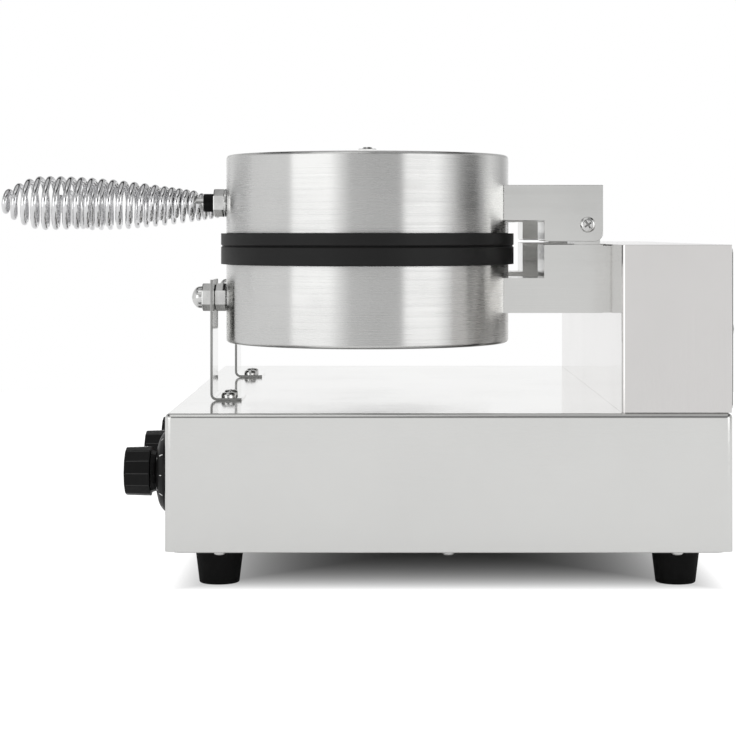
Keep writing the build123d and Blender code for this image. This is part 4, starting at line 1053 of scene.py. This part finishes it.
@dataclass
class Panel:
    """The four controls, two switches and two lamps on the front."""

    bench: Bench
    knob_spread: float = 58.0
    lamp_level: float = 91.0
    rocker_level: float = 61.0
    sign_face: float = -130.22
    sign_offset: float = 5.2

    def build(self) -> None:
        """Makes and dresses everything on the front."""
        dials, bezels, lenses = [], [], []
        for side, x in HEADS.items():
            for name, kind, way in (("thermostat", Scale.THERMOSTAT, -1), ("timer", Scale.TIMER, 1)):
                dials.append(Control(self.bench, f"{side}_{name}", kind, x + way * self.knob_spread).build())
            self.switch(side, x)
            place = facing("-Y", x, FRONT, self.lamp_level)
            bezels.append(placed(ring(5.0, 7.0, 1.5, (0.2, 0.6)), place))
            lens = lathe([(0.0, -14.0), (4.95, -14.0), (4.95, 2.0), (3.2, 3.6), (0.0, 4.0)], {2: 0.8, 3: 1.6})
            lenses.append(placed(lens, place))
        self.bench.piece(joined(dials), "dial_plates", "plastic", "base", "dials", sharp=26.0)
        self.bench.reworked("switch_frames", "plastic", "base", edge=0.3)
        self.bench.piece(joined(bezels), "lamp_bezels", "bright", "base")
        self.bench.piece(joined(lenses), "lamp_lenses", "lens", "base", "lamps")
        self.bench.dress("thermostats", "control")
        self.bench.dress("timers", "control")

    def switch(self, side: str, x: float) -> None:
        """Rocker of the head at x, with its two generic signs."""
        body = f"{side}_switch"
        self.bench.reworked(f"{side}_rocker", "rocker", body, edge=0.3)
        parts = []
        for sign, way, lean in ((bar(0.9, 4.2, 0.1), 1, 8.2), (ring(1.5, 2.2, 0.1, None, 32), -1, -8.6)):
            place = facing("-Y", x, self.sign_face, self.rocker_level + way * self.sign_offset)
            parts.append(placed(sign, place @ turned("X", lean)))
        self.bench.piece(joined(parts), f"{side}_switch_signs", "ink", body)


@dataclass
class Studio:
    """Floor, backdrop light and camera. Here camera_place and floor_radius are in metres."""

    camera_place: Triple = (1.573, 0.0185, 0.2335)
    lens: float = 100.3
    shift: Pair = (-0.0285, -0.1855)
    world_level: float = 0.93
    key_level: float = 0.2
    key_breadth: float = 40.0
    key_turn: Pair = (38.0, 60.0)  # degrees from straight down, and round Z
    floor_radius: float = 1.5
    half_width: float = 240.0  # of the case
    shadow_reach: float = 36.0
    # Grey levels of what metal mirrors, by the degrees round Z from the camera's side
    tall_screens: tuple[Pair, ...] = (
        (-180, 0.97), (-171, 0.97), (-164, 0.45), (-152, 0.8), (-132, 0.62), (-80, 0.8), (-65, 0.8),
        (-61, 1.5), (-30, 1.5), (-21, 0.9), (-12, 0.07), (27, 0.06), (32, 1.5), (58, 1.5), (70, 0.9),
        (81, 0.45), (88, 0.33), (100, 0.33), (106, 0.5), (118, 0.85), (142, 0.5), (166, 0.45), (172, 0.97),
    )
    level_screens: tuple[Pair, ...] = (
        (-180, 0.97), (-158, 0.8), (-132, 0.62), (-80, 0.8), (-65, 0.8), (-61, 1.5), (-30, 1.5),
        (-21, 0.95), (-14, 0.78), (27, 0.76), (32, 1.5), (58, 1.5), (70, 0.9), (81, 0.3), (90, 0.0),
        (98, 0.0), (106, 0.45), (118, 0.85), (142, 0.5), (172, 0.97),
    )
    # Rise of the direction that the level screens lie about, and how far from it the tall ones take over
    level_middle: float = -0.05
    level_edge: Pair = (0.09, 0.17)
    # Rise, grey level and cover of what hangs above the screens
    ceiling: tuple[Triple, ...] = (
        (0.0, 0.4, 0.0), (0.3, 0.5, 0.0), (0.4, 0.5, 1.0), (0.6, 0.45, 1.0), (0.65, 0.02, 1.0),
        (0.8, 0.02, 1.0), (0.86, 0.5, 1.0), (1.0, 0.5, 1.0),
    )

    def put(self, name: str, data: bpy.types.ID) -> bpy.types.Object:
        """Puts a camera, lamp or mesh into the scene."""
        made = bpy.data.objects.new(name, data)
        bpy.context.scene.collection.objects.link(made)
        return made

    def camera(self) -> None:
        """Sets the camera at the photograph's viewing angle."""
        data = bpy.data.cameras.new("side_camera")
        data.lens = self.lens
        data.sensor_width = 36.0
        data.shift_x, data.shift_y = self.shift
        data.clip_end = 50.0
        made = self.put("side_camera", data)
        made.location = self.camera_place
        made.rotation_euler = (math.pi / 2, 0.0, math.pi / 2)
        bpy.context.scene.camera = made

    def levels(self, graph: Graph, source: Socket, stops: Sequence[Triple]) -> bpy.types.NodeOutputs:
        """Reads a Color and an Alpha off a row of positions, each with its grey level and cover."""
        made = graph.add("ValToRGB", {"Fac": source})
        elements = made.color_ramp.elements
        while len(elements) < len(stops):
            elements.new(0.5)
        for element, (position, level, cover) in zip(elements, stops):
            element.position = position
            element.color = grey(level, cover)
        return made.outputs

    def world(self) -> None:
        """Lights the room evenly, and hangs pale and dark screens round it for the metal to show."""
        world = bpy.data.worlds.new("studio")
        bpy.context.scene.world = world
        world.use_nodes = True
        graph = Graph(world.node_tree)
        x, y, z = graph.add("SeparateXYZ", {"Vector": graph.add("TexCoord").outputs["Generated"]}).outputs
        turn = graph.span(graph.calc("ARCTAN2", y, x), (-math.pi, math.pi))
        tall, level = (
            self.levels(graph, turn, [((angle + 180) / 360, shade, 1.0) for angle, shade in row])["Color"]
            for row in (self.tall_screens, self.level_screens)
        )
        steep = graph.calc("ABSOLUTE", graph.calc("SUBTRACT", z, self.level_middle))
        walls = graph.mix(graph.span(steep, self.level_edge), level, tall)
        above = self.levels(graph, z, self.ceiling)
        roof = graph.mix(above["Alpha"], walls, above["Color"])
        rays = graph.add("LightPath").outputs
        mirrored = graph.mix(rays["Is Glossy Ray"], grey(self.world_level), roof)
        seen = graph.mix(rays["Is Camera Ray"], mirrored, grey(1.0))
        graph.feed(graph.tree.nodes["Background"], {"Color": seen})

    def key(self) -> None:
        """Hangs a broad soft lamp far off."""
        data = bpy.data.lights.new("key", "SUN")
        data.energy = self.key_level
        data.angle = math.radians(self.key_breadth)
        tilt, turn = self.key_turn
        self.put("key", data).rotation_euler = (math.radians(tilt), 0.0, math.radians(turn))

    def floor(self) -> None:
        """Lays a white floor that keeps the soft shadow under the case.

        The camera sees it glow white, and the glow fades inwards under the case: a painted shadow there, over
        the real shadow in its dimmed diffuse shade.
        """
        bm = bmesh.new()
        bmesh.ops.create_circle(bm, cap_ends=True, segments=96, radius=self.floor_radius)
        mesh = bpy.data.meshes.new("floor")
        bm.to_mesh(mesh)
        bm.free()
        material = bpy.data.materials.new("floor_white")
        material.use_nodes = True
        graph = Graph(material.node_tree)
        nodes = graph.tree.nodes
        nodes.remove(nodes["Principled BSDF"])
        rays = graph.add("LightPath").outputs
        tone = graph.mix(rays["Is Glossy Ray"], grey(0.96), grey(0.8))
        matt = graph.add("BsdfDiffuse", {"Color": graph.mix(rays["Is Camera Ray"], tone, grey(0.2))})
        x, y, _ = graph.add("SeparateXYZ", {"Vector": graph.add("TexCoord").outputs["Object"]}).outputs
        beside = graph.calc("SUBTRACT", graph.calc("ABSOLUTE", x), self.half_width * MM)
        from_middle = graph.calc("ABSOLUTE", graph.calc("SUBTRACT", y, (FRONT + BACK) / 2 * MM))
        before = graph.calc("SUBTRACT", from_middle, (BACK - FRONT) / 2 * MM)
        # Painted shadow: the camera's white glow fades out inside the case's outline
        under = graph.calc("MINIMUM", graph.calc("MAXIMUM", beside, before), 0.0)
        painted_shadow_fade = graph.calc("EXPONENT", graph.calc("DIVIDE", under, self.shadow_reach * MM))
        lift = graph.add("Emission", {"Strength": graph.calc("MULTIPLY", painted_shadow_fade, rays["Is Camera Ray"])})
        both = graph.add("AddShader", {0: matt.outputs["BSDF"], 1: lift.outputs["Emission"]})
        graph.feed(nodes["Material Output"], {"Surface": both.outputs["Shader"]})
        mesh.materials.append(material)
        self.put("floor", mesh)

    def build(self) -> None:
        """Sets up the view, the light and the floor."""
        bpy.context.scene.view_settings.view_transform = "Standard"
        self.camera()
        self.world()
        self.key()
        self.floor()
        LOG.info("studio ready")


def main() -> None:
    """Builds every sub-assembly in order."""
    logging.basicConfig(level=logging.INFO, format="%(message)s")
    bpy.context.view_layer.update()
    bench = Bench(Finishes())
    BaseCase(bench).build()
    RearColumn(bench).build()
    FrontSupport(bench).build()
    for side in HEADS:
        Drum(bench, side, "lower").build()
        Drum(bench, side, "upper").build()
        Hinge(bench, side).build()
        CoilHandle(bench, side).build()
        LidTop(bench, side).build()
    Panel(bench).build()
    Studio().build()


if __name__ == "__main__":
    main()
